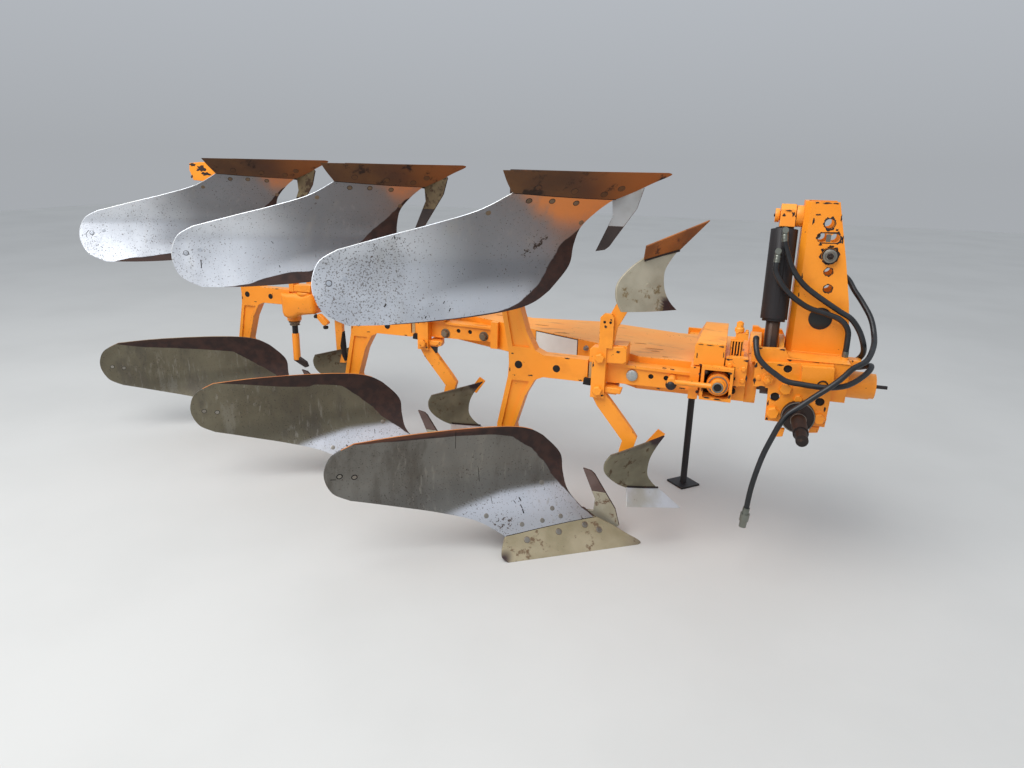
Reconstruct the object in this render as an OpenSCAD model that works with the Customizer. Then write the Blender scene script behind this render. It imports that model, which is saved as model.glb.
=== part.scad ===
// Mounted reversible plough with three pairs of bodies, standing on its lower bodies and its stand.
// Travel is along +X. Every size is in millimetres.

/* [Layout] */
// Distance from one body to the next along the travel
body_spacing = 840; // [800:10:950]
// Working width of one body
body_width = 360; // [330:5:400]
// Height of the turnover axis over the share points
axis_height = 664; // [640:2:720]
// Distance from the first landside to the turnover axis
axis_side = 120; // [110:2:140]

/* [Mouldboards] */
// Thickness of a mouldboard
board_t = 8; // [6:0.5:10]
// Thickness of a share where it meets the mouldboard
share_t = 10; // [9.5:0.5:11]
// Thickness of a share along its cutting edge
edge_t = 3; // [2:0.5:5]
// How far the foot of the board stands out from its hollow
board_depth = 237; // [220:1:250]
// Height at which the hollow is deepest
hollow_height = 300; // [280:5:320]
// How far the top of the board leans out again
top_lean = 25; // [10:1:40]
// Slope of the level lines at the share edge
foot_slope = 0.68; // [0.62:0.01:0.74]
// Gain in slope from the share edge to the top of the board
slope_gain = 0.20; // [0.1:0.01:0.3]
// Height of the top of the board
board_top = 474; // [450:2:490]
// Length from the share point to the tail
tail_reach = 990; // [960:5:1020]

/* [Skimmers] */
// Thickness of a skimmer board
skim_t = 8; // [6:0.5:10]
// How far the second skimmer sits ahead of the first one's place on its body
skim_ahead = 28; // [0:2:40]
// How far the last skimmer sits ahead of the first one's place on its body
last_skim_ahead = 90; // [80:2:100]
// Thickness of a skimmer stem
stem_t = 24; // [18:1:26]

/* [Arms] */
// Thickness of an arm casting
arm_t = 50; // [40:1:60]
// Height of the level bar of an arm
bar_h = 80; // [70:1:90]
// Depth of the hollows in the casting
pocket_d = 8; // [4:1:12]

/* [Main beam] */
// Height of the main beam
beam_h = 116; // [104:2:124]
// Width of the main beam, square across it
beam_w = 160; // [140:2:180]

/* [Turnover head] */
// Radius of the crank on the turnover hub
crank_r = 115; // [108:1:118]
// Height of the cylinder's upper pin over the turnover axis
pin_rise = 540; // [500:5:560]
// Diameter of the turnover shaft
shaft_d = 62; // [56:1:70]
// Diameter of the cylinder barrel
barrel_d = 84; // [76:1:90]
// Diameter of the piston rod
rod_d = 45; // [40:1:48]
// Outer diameter of the rod eye
eye_d = 60; // [56:1:62]

/* [Headstock] */
// Distance between the shoulders of the lower hitch pins
hitch_spread = 683; // [640:1:700]
// Diameter of the lower hitch pins
hitch_pin_d = 36.6; // [36:0.1:37]
// Diameter of the top link holes
top_link_d = 25.7; // [25.4:0.1:26]
// Height of the top of the tower over the turnover axis
tower_rise = 590; // [560:5:620]
// Width of the tower
tower_w = 100; // [90:2:110]

/* [Stand] */
// Diameter of the stand leg
stand_d = 28; // [24:1:32]

/* [Hoses] */
// Outer diameter of a hose
hose_d = 18; // [14:1:20]

/* [Hidden] */
$fn = 48;

// Gap between pieces that are bolted together but stay separate
seat = 0.3;
// Gap between a curved plate and the curved casting behind it
curved_seat = 1.0;
// Radial play of a pin in its bore
pin_play = 0.05;

// Rows and columns of facets on a mouldboard, the first third of the columns is over the share
board_cols = 18;
board_rows = 9;
share_cols = board_cols / 3;

// Body surface: level lines are straight, their slope opens with height
function side_at(z) = z < hollow_height
    ? 30 - board_depth * pow(1 - z / hollow_height, 1.6)
    : 30 - top_lean * pow((z - hollow_height) / 170, 2);
function slope_at(z) = foot_slope + slope_gain * z / 470;
station = 300;
function surface_y(x, z) = side_at(z) + slope_at(z) * (x + station);

// Smooth curve through a short list of points, t from 0 to 1
function knot(p, i) = p[max(0, min(len(p) - 1, i))];
function curve(p, t) =
    let (n = len(p) - 1, s = min(t, 0.999999) * n, i = floor(s), f = s - i,
         a = knot(p, i - 1), b = knot(p, i), c = knot(p, i + 1), d = knot(p, i + 2))
    0.5 * (2 * b + (c - a) * f + (2 * a - 5 * b + 4 * c - d) * f * f
        + (3 * b - a - 3 * c + d) * f * f * f);

// Point inside four edge curves, in the [x, z] plane
function inside(low, high, front, rear, u, v) =
    (1 - v) * curve(low, u) + v * curve(high, u) + (1 - u) * curve(front, v) + u * curve(rear, v)
    - (1 - u) * (1 - v) * low[0] - u * (1 - v) * low[len(low) - 1]
    - (1 - u) * v * high[0] - u * v * high[len(high) - 1];

// Point on the body surface, set back level and square to the level lines
function set_back(p, depth) =
    let (a = atan(slope_at(p[1])))
    [p[0] - depth * sin(a), surface_y(p[0], p[1]) + depth * cos(a), p[1]];

// Solid plate between two depths behind the body surface; depths are [at the foot, at the top]
module surface_plate(low, high, front, rear, near, far, nu, nv) {
    face = [for (v = [0 : nv], u = [0 : nu])
        set_back(inside(low, high, front, rear, u / nu, v / nv),
            near[0] + (near[1] - near[0]) * v / nv)];
    back = [for (v = [0 : nv], u = [0 : nu])
        set_back(inside(low, high, front, rear, u / nu, v / nv),
            far[0] + (far[1] - far[0]) * v / nv)];
    w = nu + 1;
    m = w * (nv + 1);
    skin = [for (v = [0 : nv - 1], u = [0 : nu - 1])
        each let (a = v * w + u, b = a + 1, c = a + w, d = c + 1) [
            [a, b, d], [a, d, c], [m + a, m + d, m + b], [m + a, m + c, m + d]]];
    rim_u = [for (u = [0 : nu - 1])
        each let (a = u, b = u + 1, c = nv * w + u, d = c + 1) [
            [a, m + a, m + b], [a, m + b, b], [c, m + d, m + c], [c, d, m + d]]];
    rim_v = [for (v = [0 : nv - 1])
        each let (a = v * w, b = a + w, c = v * w + nu, d = c + w) [
            [a, m + b, m + a], [a, b, m + b], [c, m + c, m + d], [c, m + d, d]]];
    polyhedron(points = concat(face, back), faces = concat(skin, rim_u, rim_v), convexity = 6);
}

// Plate with an outline in the [x, z] plane, between two sides
module side_plate(outline, y0, y1) {
    translate([0, y1, 0]) rotate([90, 0, 0]) linear_extrude(y1 - y0) polygon(outline);
}

// Round bar along Y between two sides
module cross_bar(x, z, d, y0, y1) {
    translate([x, y1, z]) rotate([90, 0, 0]) cylinder(d = d, h = y1 - y0);
}

// Round bar along X between two stations
module long_bar(y, z, d, x0, x1) {
    translate([x0, y, z]) rotate([0, 90, 0]) cylinder(d = d, h = x1 - x0);
}

// Plate with an outline in the [y, z] plane, between two stations
module end_plate(outline, x0, x1) {
    translate([x0, 0, 0]) rotate([90, 0, 90]) linear_extrude(x1 - x0) polygon(outline);
}

// Block between two corners
module block(low, high) {
    translate(low) cube(high - low);
}

// Outline whose heights are given over the turnover axis
function over_axis(points) = [for (p = points) [p[0], axis_height + p[1]]];

// Puts a piece of a body at body i, as the upper one where it is asked for
module at_body(i, upper) {
    translate([-origin_x - i * body_spacing, i * body_width - origin_y, upper ? 2 * axis_height : 0])
        mirror([0, 0, upper ? 1 : 0]) children();
}

// Puts a piece of the frame or the headstock in the part's frame
module in_place() {
    translate([-origin_x, -origin_y, 0]) children();
}

// Draws a piece of the near side again, mirrored to the far side of the turnover axis
module on_side(far) {
    translate([0, axis_side, 0]) mirror([0, far ? 1 : 0, 0]) translate([0, -axis_side, 0]) children();
}

// Edge curves of the mouldboard, each point is [x, z]
joint_front = [-180, 88];
joint_rear = [-455, 69];
tail_foot = [59 - tail_reach, 243];
crown = [101 - tail_reach, board_top - 6];
shin_top = [-378, 397];
board_low = [joint_front, [-310, 81], joint_rear, [-560, 125], [-684, 167], [-805, 203], tail_foot];
board_tail = [tail_foot, [14 - tail_reach, 275], [-tail_reach, 322], [8 - tail_reach, 375],
    [40 - tail_reach, 430], crown];
board_high = [shin_top, [-415, 430], [-462, 450], [-545, board_top - 10], [-660, board_top - 2],
    [-780, board_top], crown];
board_shin = [joint_front, [-232, 127], [-286, 182], [-312, 245], [-327, 318], shin_top];

module mouldboard(i, upper) {
    color("#9aa0a6") at_body(i, upper)
        surface_plate(board_low, board_high, board_shin, board_tail, [0, 0], [board_t, board_t],
            board_cols, board_rows);
}

// Edge curves of the share
share_corner = [-450, 0];
share_low = [[0, 0], [-150, 0], [-300, 0], share_corner];
nose_gain = 7;
share_high = [for (k = [0 : share_cols]) curve(board_low, k / board_cols)
    + [k == 0 ? nose_gain : 0, -seat]];
share_nose = [[0, 0], [-55, 28], [-109, 59], share_high[0]];
share_wing = [share_corner, [-455, 34], share_high[share_cols]];

module share(i, upper) {
    color("#a39684") at_body(i, upper)
        surface_plate(share_low, share_high, share_nose, share_wing, [0, 0], [edge_t, share_t],
            share_cols, 3);
}

// Frog casting behind the share and the board, its landside bar, its lug and the shin cutter
frog_low = [[-150, 30], [-330, 30]];
frog_shin = [[-150, 30], [-225, 105], [-320, 188], [-350, 300]];
frog_high = [[-350, 300], [-430, 300]];
frog_rear = [[-330, 30], [-410, 150], [-430, 300]];
lug_y = -12;
landside_y = 19;
landside_in = -4;
frog_depth = 34;

knife_outline = [[-89, 51], [-108, 116], [-193, 245], [-207, 256], [-238, 262], [-186, 145],
    [-190, 96], [-250, 90], [-250, 30], [-110, 30]];

module frog(i, upper) {
    color("#5c4638") at_body(i, upper) {
        surface_plate(frog_low, frog_high, frog_shin, frog_rear,
            [share_t + 2 * curved_seat, board_t + curved_seat],
            [share_t + frog_depth, board_t + frog_depth], 4, 9);
        side_plate([[-60, 3], [-200, 86], [-225, 104], [-540, 104], [-540, 3]],
            landside_in, landside_y);
        side_plate([[-250, 100], [-335, 200], [-385, 300], [-395, 340], [-515, 340], [-540, 100]],
            lug_y + seat, 14);
        side_plate(knife_outline, landside_y - 1, landside_y + 8);
    }
}

// Near face of the main beam, seen from a body: where it passes the side y
near_slope = body_width / body_spacing;
near_x = -503;
near_y = 234;
function near_face_x(y) = near_x + (near_y - y) / near_slope;

// Arm: a level bar with a leg down and a leg up at its rear end
arm_in = lug_y;
arm_out = lug_y - arm_t;
arm_rear = -512;
leg_foot_z = 160;
first_bar_front = 130;
bar_front = near_face_x(arm_out) - 23;
bar_low = axis_height - bar_h / 2;
bar_high = axis_height + bar_h / 2;
leg_outline = [[arm_rear, axis_height], [-515, bar_low - 10], [-553, 425], [-545, 330],
    [-532, leg_foot_z], [-450, leg_foot_z], [-470, 330], [-486, 425], [-450, 545],
    [-415, bar_low - 14], [-385, bar_low], [-385, axis_height]];
leg_pocket = [[-500, bar_low - 22], [-535, 425], [-528, 330], [-518, 200], [-462, 200],
    [-482, 330], [-500, 425], [-466, 545], [-436, bar_low - 22]];

// Front part of the bar: lower than the rear part, with a lip along its top and a flange at its end
bar_step = -226;
notch_w = 21;
notch_d = 22;
front_low = bar_low + 8;
front_high = bar_high - 6;
lip_d = 8;
flange_t = 30;

module arm(i) {
    reach = i == 0 ? first_bar_front : bar_front;
    flange_x = i == 0 ? first_bar_front - 12 : bar_front - 27;
    color("#f08a1e") difference() {
        union() {
            for (upper = [false, true]) at_body(i, upper)
                side_plate(leg_outline, arm_out, arm_in);
            at_body(i, false) {
                side_plate([[arm_rear, bar_low], [bar_step, bar_low], [bar_step + notch_w, front_low],
                    [reach, front_low + 4], [reach, front_high], [bar_step + notch_w, bar_high],
                    [arm_rear, bar_high]], arm_out, arm_in);
                if (i < 2) side_plate([[skim_dx(i) - 156, bar_high - 9], [reach - 12, front_high - 9],
                    [reach - 12, front_high], [skim_dx(i) - 156, bar_high]], arm_out - lip_d, arm_out + 1);
                block([flange_x, arm_out - 16, bar_low - 11],
                    [flange_x + flange_t, arm_out + (i == 0 ? arm_t - seat : 6), bar_high + 19]);
            }
        }
        for (upper = [false, true]) at_body(i, upper) {
            side_plate(leg_pocket, arm_out - 1, arm_out + pocket_d);
            side_plate(leg_pocket, arm_in - pocket_d, arm_in + 1);
        }
        at_body(i, false)
            block([bar_step, arm_out - 1, bar_low + 16],
                [bar_step + notch_w, arm_out + notch_d, bar_high + 1]);
        if (i > 0) at_body(i, false) translate([0, 0, bar_low - 20]) linear_extrude(bar_h + 60)
            polygon([[near_face_x(arm_in + 5) - seat, arm_in + 5],
                [near_face_x(arm_out - 25) - seat, arm_out - 25], [900, arm_out - 25], [900, arm_in + 5]]);
        at_body(i, false) for (hole = [[-478, 0, 22], [-339, 0, 18], [-9, 5, 18], [42, 5, 18]])
            cross_bar(hole[0], axis_height + hole[1], hole[2], arm_out - 1, arm_in + 1);
    }
}

// Skimmer: its board and its share, in front of and beside the body
skim_high = [[51, 438], [-25, 430], [-101, 420]];
skim_low = [[45, 234], [-5, 246], [-57, 261]];
skim_front = [[45, 234], [22, 268], [6, 308], [10, 362], [28, 405], [51, 438]];
skim_rear = [[-57, 261], [-92, 290], [-124, 335], [-123, 380], [-101, 420]];
// The level lines of the skimmer turn further round towards the top
skim_station = 40;
function skim_slope_at(z) = 0.84 + 0.55 * pow(max(0, (z - 323) / 110), 2);
function skim_side_at(z) = -4 - 8 * (z - 234) / 204 - 13 * sin(180 * (z - 234) / 204);
function skim_y(x, z) = skim_side_at(z) + skim_slope_at(z) * (x - skim_station);
function skim_point(p, depth) =
    let (a = atan(skim_slope_at(p[1])))
    [p[0] - depth * sin(a), skim_y(p[0], p[1]) + depth * cos(a), p[1]];

module skim_board(nu, nv) {
    flat = [for (v = [0 : nv], u = [0 : nu])
        inside(skim_low, skim_high, skim_front, skim_rear, u / nu, v / nv)];
    face = [for (p = flat) skim_point(p, 0)];
    back = [for (p = flat) skim_point(p, skim_t)];
    w = nu + 1;
    m = w * (nv + 1);
    skin = [for (v = [0 : nv - 1], u = [0 : nu - 1])
        each let (a = v * w + u, b = a + 1, c = a + w, d = c + 1) [
            [a, b, d], [a, d, c], [m + a, m + d, m + b], [m + a, m + c, m + d]]];
    rim_u = [for (u = [0 : nu - 1])
        each let (a = u, b = u + 1, c = nv * w + u, d = c + 1) [
            [a, m + a, m + b], [a, m + b, b], [c, m + d, m + c], [c, d, m + d]]];
    rim_v = [for (v = [0 : nv - 1])
        each let (a = v * w, b = a + w, c = v * w + nu, d = c + w) [
            [a, m + b, m + a], [a, b, m + b], [c, m + c, m + d], [c, m + d, d]]];
    polyhedron(points = concat(face, back), faces = concat(skin, rim_u, rim_v), convexity = 6);
}

// Skimmer share: a flat blade whose upper edge is let into the board
blade_t = 6;
skim_nose = [128, 52, 146];
skim_wing = [-45, -150, 217];
module skim_blade() {
    root = [[43, 242], [-56, 269]];
    a = atan(skim_slope_at(root[0][1]));
    down = [-blade_t * sin(a), blade_t * cos(a), -2];
    face = [skim_point(root[0], 1), skim_nose, skim_wing, skim_point(root[1], 1)];
    back = [for (p = face) p + down];
    polyhedron(points = concat(face, back), faces = [[0, 1, 2], [0, 2, 3], [4, 6, 5], [4, 7, 6],
        [0, 4, 5], [0, 5, 1], [1, 5, 6], [1, 6, 2], [2, 6, 7], [2, 7, 3], [3, 7, 4], [3, 4, 0]]);
}

stem_in = arm_out - seat;
stem_out = stem_in - stem_t;
boss_at = [-62, 365];
boss_d = 30;
function skim_dx(i) = [0, skim_ahead, last_skim_ahead][i];

module skimmer(i, upper) {
    color("#6a6a5e") at_body(i, upper) translate([skim_dx(i), 0, 0]) {
        skim_board(6, 7);
        skim_blade();
        difference() {
            translate(skim_point(boss_at, skim_t / 2)) rotate([-90, 0, atan(skim_slope_at(boss_at[1]))])
                cylinder(d = boss_d, h = 60);
            block([-500, stem_out - seat, 0], [500, 500, 1000]);
        }
    }
}

// Skimmer stem: clamped to the near side of the bar, with a cranked stem down and one up
clamp_rear = -205;
clamp_w = 47;
strip_t = 16;
strip_low = -79;
strip_high = 99;
lower_stem = [[clamp_rear, axis_height + strip_high], [clamp_rear, axis_height - 72], [-182, 551],
    [-112, 465], [-87, 434], [-95, 400], [-100, 345], [-57, 345], [-50, 400], [-37, 450], [-60, 482],
    [-131, 569], [clamp_rear + clamp_w, axis_height - 64], [clamp_rear + clamp_w, axis_height + strip_high]];
upper_stem = [[-185, axis_height - 64], [-185, 558], [-172, 488], [-137, 415], [-107, 352], [-58, 352],
    [-110, 460], [-131, 502], [-139, 558], [-139, axis_height - 64]];
last_stem = [[-93, axis_height + 10], [-93, 345], [-49, 345], [-49, axis_height + 10]];
jaw_low = 26;

module skimmer_stem(i) {
    color("#f08a1e") if (i < 2) {
        at_body(i, false) translate([skim_dx(i), 0, 0]) {
            side_plate(lower_stem, stem_out, stem_in);
            side_plate(over_axis([[clamp_rear, strip_low], [clamp_rear + clamp_w, strip_low],
                [clamp_rear + clamp_w, strip_high], [clamp_rear, strip_high]]), stem_out - strip_t,
                stem_out + 1);
            side_plate(over_axis([[-185, strip_high - 1], [-139, strip_high - 1], [-139, 202],
                [-148, 215], [-172, 215], [-185, 202]]), stem_out - strip_t, stem_out + 1);
            block([-162, stem_out + 1, bar_high + 3], [-92, arm_in - 2, bar_high + 68]);
            block([-162, stem_out + 1, bar_low - jaw_low], [-118, arm_in - 8, bar_low - 1]);
        }
        at_body(i, true) translate([skim_dx(i), 0, 0]) side_plate(upper_stem, stem_out, stem_in);
    } else for (upper = [false, true]) at_body(i, upper) translate([skim_dx(i), 0, 0]) {
        side_plate(last_stem, stem_out, stem_in);
        side_plate(over_axis([[-93, strip_low], [-49, strip_low], [-49, 10], [-93, 10]]),
            stem_out - strip_t, stem_out + 1);
    }
}

// Rear casting: wraps the bar of the last arm and holds an upright spindle
spindle_x = -248;
spindle_y = 0;
spindle_d = 34;
casting_low = -142;
module rear_casting() {
    cheek_in = arm_out - seat;
    color("#f08a1e") at_body(2, false) difference() {
        union() {
            side_plate(over_axis([[-312, -52], [-312, -98], [-300, -126], [-268, casting_low],
                [-232, casting_low], [-196, -112], [-116, -90], [-114, -52],
                [-140, bar_low - seat - axis_height],
                [-300, bar_low - seat - axis_height]]), cheek_in - 12, 34);
            side_plate(over_axis([[-312, -60], [-116, -60], [-118, 0], [-136, 24], [-300, 30]]),
                cheek_in - 12, cheek_in);
            side_plate(over_axis([[-240, 0], [-112, 0], [-114, 80], [-214, 72], [-240, 60]]),
                cheek_in - 12, cheek_in);
            side_plate(over_axis([[-240, bar_h / 2 + seat], [-112, bar_h / 2 + seat], [-114, 80], [-214, 72],
                [-240, 60]]), cheek_in - 1, arm_in);
        }
        translate([spindle_x, spindle_y, axis_height + casting_low - 1])
            cylinder(d = spindle_d + 2 * pin_play, h = 70);
    }
}

// Rear spindle: an upright pin in the casting with a collar, a sleeve and a heel
heel_z = 292;
module rear_spindle() {
    foot_z = heel_z + 30;
    top_z = axis_height + casting_low;
    color("#3a2c22") at_body(2, false) {
        translate([spindle_x, spindle_y, foot_z]) cylinder(d = spindle_d, h = top_z - foot_z + 66);
        translate([spindle_x, spindle_y, top_z - 24]) cylinder(d = 62, h = 24 - seat);
        translate([spindle_x, spindle_y, foot_z]) cylinder(d = 46, h = top_z - 40 - foot_z);
        side_plate([[-276, foot_z + 22], [-268, foot_z - 6], [-192, heel_z], [-182, foot_z - 4],
            [-222, foot_z + 12]], spindle_y - 8, spindle_y + 8);
    }
}

// Main beam: a square tube on the diagonal that widens into the head
head_x0 = 150;
beam_left = 400;
diag = sqrt(pow(body_spacing, 2) + pow(body_width, 2));
beam_dx = -body_spacing / diag;
beam_dy = body_width / diag;
beam_front_x = -227;
beam_front_y = near_y - near_slope * (beam_front_x - near_x);
beam_mid_z = axis_height;
function along(s, off) = [beam_front_x + s * beam_dx + off * beam_dy,
    beam_front_y + s * beam_dy - off * beam_dx];
beam_length = 1850;
beam_plan = [along(0, 0), along(beam_length, 0), along(beam_length, beam_w), along(440, beam_w),
    [-281, 483], [40, beam_left], [head_x0, beam_left], [head_x0, arm_in + seat], [-60, arm_in + seat]];

beam_wall = 10;
beam_hollow = [along(2, beam_wall), along(beam_length - beam_wall, beam_wall),
    along(beam_length - beam_wall, beam_w - beam_wall), along(440, beam_w - beam_wall),
    [-279, 483 - beam_wall], [38, beam_left - beam_wall], [head_x0 - beam_wall, beam_left - beam_wall],
    [head_x0 - beam_wall, arm_in + seat + beam_wall], [-56, arm_in + seat + beam_wall]];

// Outermost places, from which the origin is set at the middle of the outline
tail_points = [for (v = [0 : board_rows]) set_back(curve(board_tail, v / board_rows), board_t)];
tail_faces = [for (v = [0 : board_rows]) set_back(curve(board_tail, v / board_rows), 0)];
rear_x = -2 * body_spacing + min([for (p = tail_points) p[0]]);
front_x = 745;
right_y = min([for (p = tail_faces) p[1]]);
left_y = along(beam_length, beam_w)[1];
origin_x = (rear_x + front_x) / 2;
origin_y = (right_y + left_y) / 2;

module main_beam() {
    color("#f08a1e") in_place() translate([0, 0, beam_mid_z - beam_h / 2]) difference() {
        linear_extrude(beam_h) polygon(beam_plan);
        translate([0, 0, beam_wall]) linear_extrude(beam_h - 2 * beam_wall) polygon(beam_hollow);
    }
}

// Head block: carries the turnover hub on the front of the beam
head_x1 = 296;
head_near = -40;
head_far = 280;
link_x = 211;
link_z = 8;
sleeve_d = 66;
valve_seat = 90;

module head_block() {
    cover = over_axis([[-70, 64], [-70, 139], [95, 171], [120, 171], [120, 64]]);
    frame_out = [[155, link_z - 52], [256, link_z - 52], [256, link_z + 60], [155, link_z + 60]];
    frame_in = [[165, link_z - 42], [246, link_z - 42], [246, link_z + 50], [165, link_z + 50]];
    color("#f08a1e") in_place() {
        block([head_x0 + seat, head_near, axis_height - 52], [head_x1, head_far, axis_height + valve_seat]);
        difference() {
            end_plate(cover, 126, 222);
            side_plate(over_axis([[120, 118], [152, 180], [120, 180]]), -80, 130);
            block([120, -80, axis_height], [head_x0 + seat, 130, axis_height + beam_h / 2 + 6]);
        }
        difference() {
            side_plate(over_axis(frame_out), head_near - 56, head_near + 1);
            side_plate(over_axis(frame_in), head_near - 57, head_near);
        }
        side_plate(over_axis([[226, 70], [258, 70], [258, 4], [head_x1 - 2, 8], [head_x1 - 2, 101],
            [226, 101]]),
            head_near - 30, head_near - 20);
        block([258, head_near - 30, axis_height + 4], [268, head_near + 1, axis_height + 90]);
        block([226, head_near - 30, axis_height + 80],
            [head_x1 - 2, head_near + 1, axis_height + valve_seat - 2]);
        block([226, head_near - 30, axis_height + 80], [head_x1 - 2, head_near - 1, axis_height + 101]);
    }
}

// Length of the cylinder between its pins, at rest
rest_length = sqrt(pow(pin_rise, 2) + pow(crank_r, 2));

// Turnover hub: the slotted drum on the head block and the shaft that runs through the headstock
web_x0 = head_x1 + seat;
web_x1 = 332;
slot_x1 = 388;
web_front = 404;
hub_r = crank_r + 32;
hub_cut = -62;
slot_edge = rest_length - pin_rise + eye_d / 2 + 8;
pin_x0 = web_x1 + seat;
pin_x1 = slot_x1 - seat;
housing_x0 = 411;
housing_x1 = 690;
housing_d = shaft_d + 28;
cap_t = 15;
shaft_x1 = housing_x1 - 4;
stud_d = 12;

module turnover_hub() {
    color("#c9741c") in_place() {
        difference() {
            long_bar(axis_side, axis_height, 2 * hub_r, web_x0, web_front);
            block([web_x1, axis_side - 500, axis_height - 500],
                [slot_x1, axis_side + slot_edge, axis_height + 500]);
            block([0, axis_side - 500, axis_height - 500], [500, axis_side + 500, axis_height + hub_cut]);
        }
        long_bar(axis_side, axis_height, shaft_d, web_front - 1, shaft_x1);
    }
}

// Shaft housing: the tube of the headstock that the shaft turns in, with a thrust ring and a cap
module shaft_housing() {
    color("#f08a1e") in_place() difference() {
        union() {
            long_bar(axis_side, axis_height, housing_d, web_front + 2, housing_x1);
            long_bar(axis_side, axis_height, housing_d + 24, web_front + 2, housing_x0 - seat);
            long_bar(axis_side, axis_height, housing_d - 6, housing_x1 - 1, housing_x1 + cap_t);
        }
        long_bar(axis_side, axis_height, shaft_d + 2 * pin_play, web_front, housing_x1);
        long_bar(axis_side, axis_height, stud_d + 2 * pin_play, housing_x1 + 3, housing_x1 + cap_t + 1);
    }
}

// Stud on the end of the housing
module front_stud() {
    color("#1c1c1e") in_place()
        long_bar(axis_side, axis_height, stud_d, housing_x1 + 3 + seat, front_x);
}

// Tower: a column with a folded rear edge, open to the front and drilled for the top link
tower_y0 = axis_side - tower_w / 2;
tower_y1 = axis_side + tower_w / 2;
tower_rear = housing_x0;
tower_fold = 17;
tower_sheet = 12;
base_top = 106;
tower_foot = base_top + seat;
tower_outline = over_axis([[tower_rear + tower_fold, tower_rise], [510, tower_rise], [553, 409],
    [581, 277], [592, 204], [596, 139], [596, tower_foot], [tower_rear + tower_fold, tower_foot]]);
// Each hole is [x, height over the axis, diameter]; the slot is two lobes side by side
top_link_x = 502;
top_link_rise = 426;
tower_holes = [[488, 524, 30], [474, 480, 28], [510, 480, 28],
    [top_link_x, top_link_rise, top_link_d], [506, 375, top_link_d], [512, 321, top_link_d]];

// Glands that the hoses start from or end in
gland_d = 26;
gland_l = 8;
supply_gland = [540, axis_height + 371];
front_glands = [[104, 81], [76, 71]];
top_gland = [588, 26];
cheek_gland = 312;

module tower() {
    inner = tower_rear + tower_sheet;
    fold_x = tower_rear + tower_fold;
    rear_edge = [[fold_x + 12, tower_y0], [fold_x, tower_y0], [tower_rear, tower_y0 + tower_fold],
        [tower_rear, tower_y1 - tower_fold], [fold_x, tower_y1], [fold_x + 12, tower_y1],
        [fold_x + 12, tower_y1 - tower_sheet], [fold_x + 5, tower_y1 - tower_sheet],
        [inner, tower_y1 - tower_fold - 5], [inner, tower_y0 + tower_fold + 5],
        [fold_x + 5, tower_y0 + tower_sheet], [fold_x + 12, tower_y0 + tower_sheet]];
    color("#f08a1e") in_place() difference() {
        union() {
            side_plate(tower_outline, tower_y0, tower_y0 + tower_sheet);
            side_plate(tower_outline, tower_y1 - tower_sheet, tower_y1);
            cross_bar(supply_gland[0], supply_gland[1], gland_d, tower_y1 - 1, tower_y1 + gland_l);
            translate([0, 0, axis_height + tower_foot]) linear_extrude(tower_rise - tower_foot)
                polygon(rear_edge);
        }
        for (hole = tower_holes)
            cross_bar(hole[0], axis_height + hole[1], hole[2], tower_y0 - 1, tower_y1 + 1);
    }
}

// Tower base: the box that joins the tower, the housing and the hitch plates, with a cheek at each side
plate_t = 14;
plate_out = -52;
base_y0 = plate_out + plate_t + seat;
base_y1 = 2 * axis_side - base_y0;
base_front = 600;
cheek_rear = 304;
cheek_high = 140;
module tower_base() {
    color("#f08a1e") in_place() {
        difference() {
            block([tower_rear, base_y0, axis_height - 20], [base_front, base_y1, axis_height + base_top]);
            long_bar(axis_side, axis_height, housing_d + 2 * seat, tower_rear - 1, base_front + 1);
        }
        for (g = front_glands)
            long_bar(g[0], axis_height + g[1], gland_d, base_front - 1, base_front + gland_l);
        translate([top_gland[0], top_gland[1], axis_height + base_top - 1])
            cylinder(d = gland_d - 2, h = gland_l + 1);
        translate([cheek_gland, base_y0 + 12, axis_height + cheek_high - 12])
            cylinder(d = 22, h = 12 + gland_l);
        for (far = [false, true]) on_side(far)
            side_plate(over_axis([[cheek_rear, 86], [tower_rear + 9, 86], [tower_rear + 9, base_top],
                [tower_rear - 7, cheek_high - 4], [336, cheek_high - 8], [322, cheek_high],
                [cheek_rear, cheek_high]]), base_y0, base_y0 + 24);
    }
}

// Hitch plates: one on each side of the base, drilled, with a raised pad
hitch_x = 467;
hitch_z = axis_height - 76;
hitch_d = 40;
pad_t = 16;
plate_outline = over_axis([[317, 89], [320, 7], [367, 6], [370, -104], [552, -104], [558, 49], [550, 103]]);
plate_holes = [[391, -21, 30], [527, -22, 28], [418, 76, 26]];

module hitch_plate(far) {
    color("#f08a1e") in_place() on_side(far) difference() {
        union() {
            side_plate(plate_outline, plate_out, plate_out + plate_t);
            side_plate(over_axis([[462, 36], [556, 41], [552, 96], [458, 93]]), plate_out - pad_t,
                plate_out + 1);
        }
        cross_bar(hitch_x, hitch_z, hitch_d + 2 * pin_play, plate_out - 1, plate_out + plate_t + 1);
        for (hole = plate_holes)
            cross_bar(hole[0], axis_height + hole[1], hole[2], plate_out - 1, plate_out + plate_t + 1);
    }
}

// Hitch shaft: runs through both plates, has a collar on each and ends in the lower hitch pins
pin_reach = 62;
collar_d = 104;
collar_t = 18;
neck_d = 46;
module hitch_shaft() {
    shoulder = axis_side - hitch_spread / 2;
    color("#3a3230") in_place() {
        cross_bar(hitch_x, hitch_z, hitch_d, plate_out - 1, 2 * axis_side - plate_out + 1);
        for (far = [false, true]) on_side(far) {
            cross_bar(hitch_x, hitch_z, collar_d, plate_out - seat - collar_t, plate_out - seat);
            cross_bar(hitch_x, hitch_z, neck_d, shoulder, plate_out - collar_t);
            cross_bar(hitch_x, hitch_z, hitch_pin_d, shoulder - pin_reach, shoulder + 1);
        }
    }
}

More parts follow.
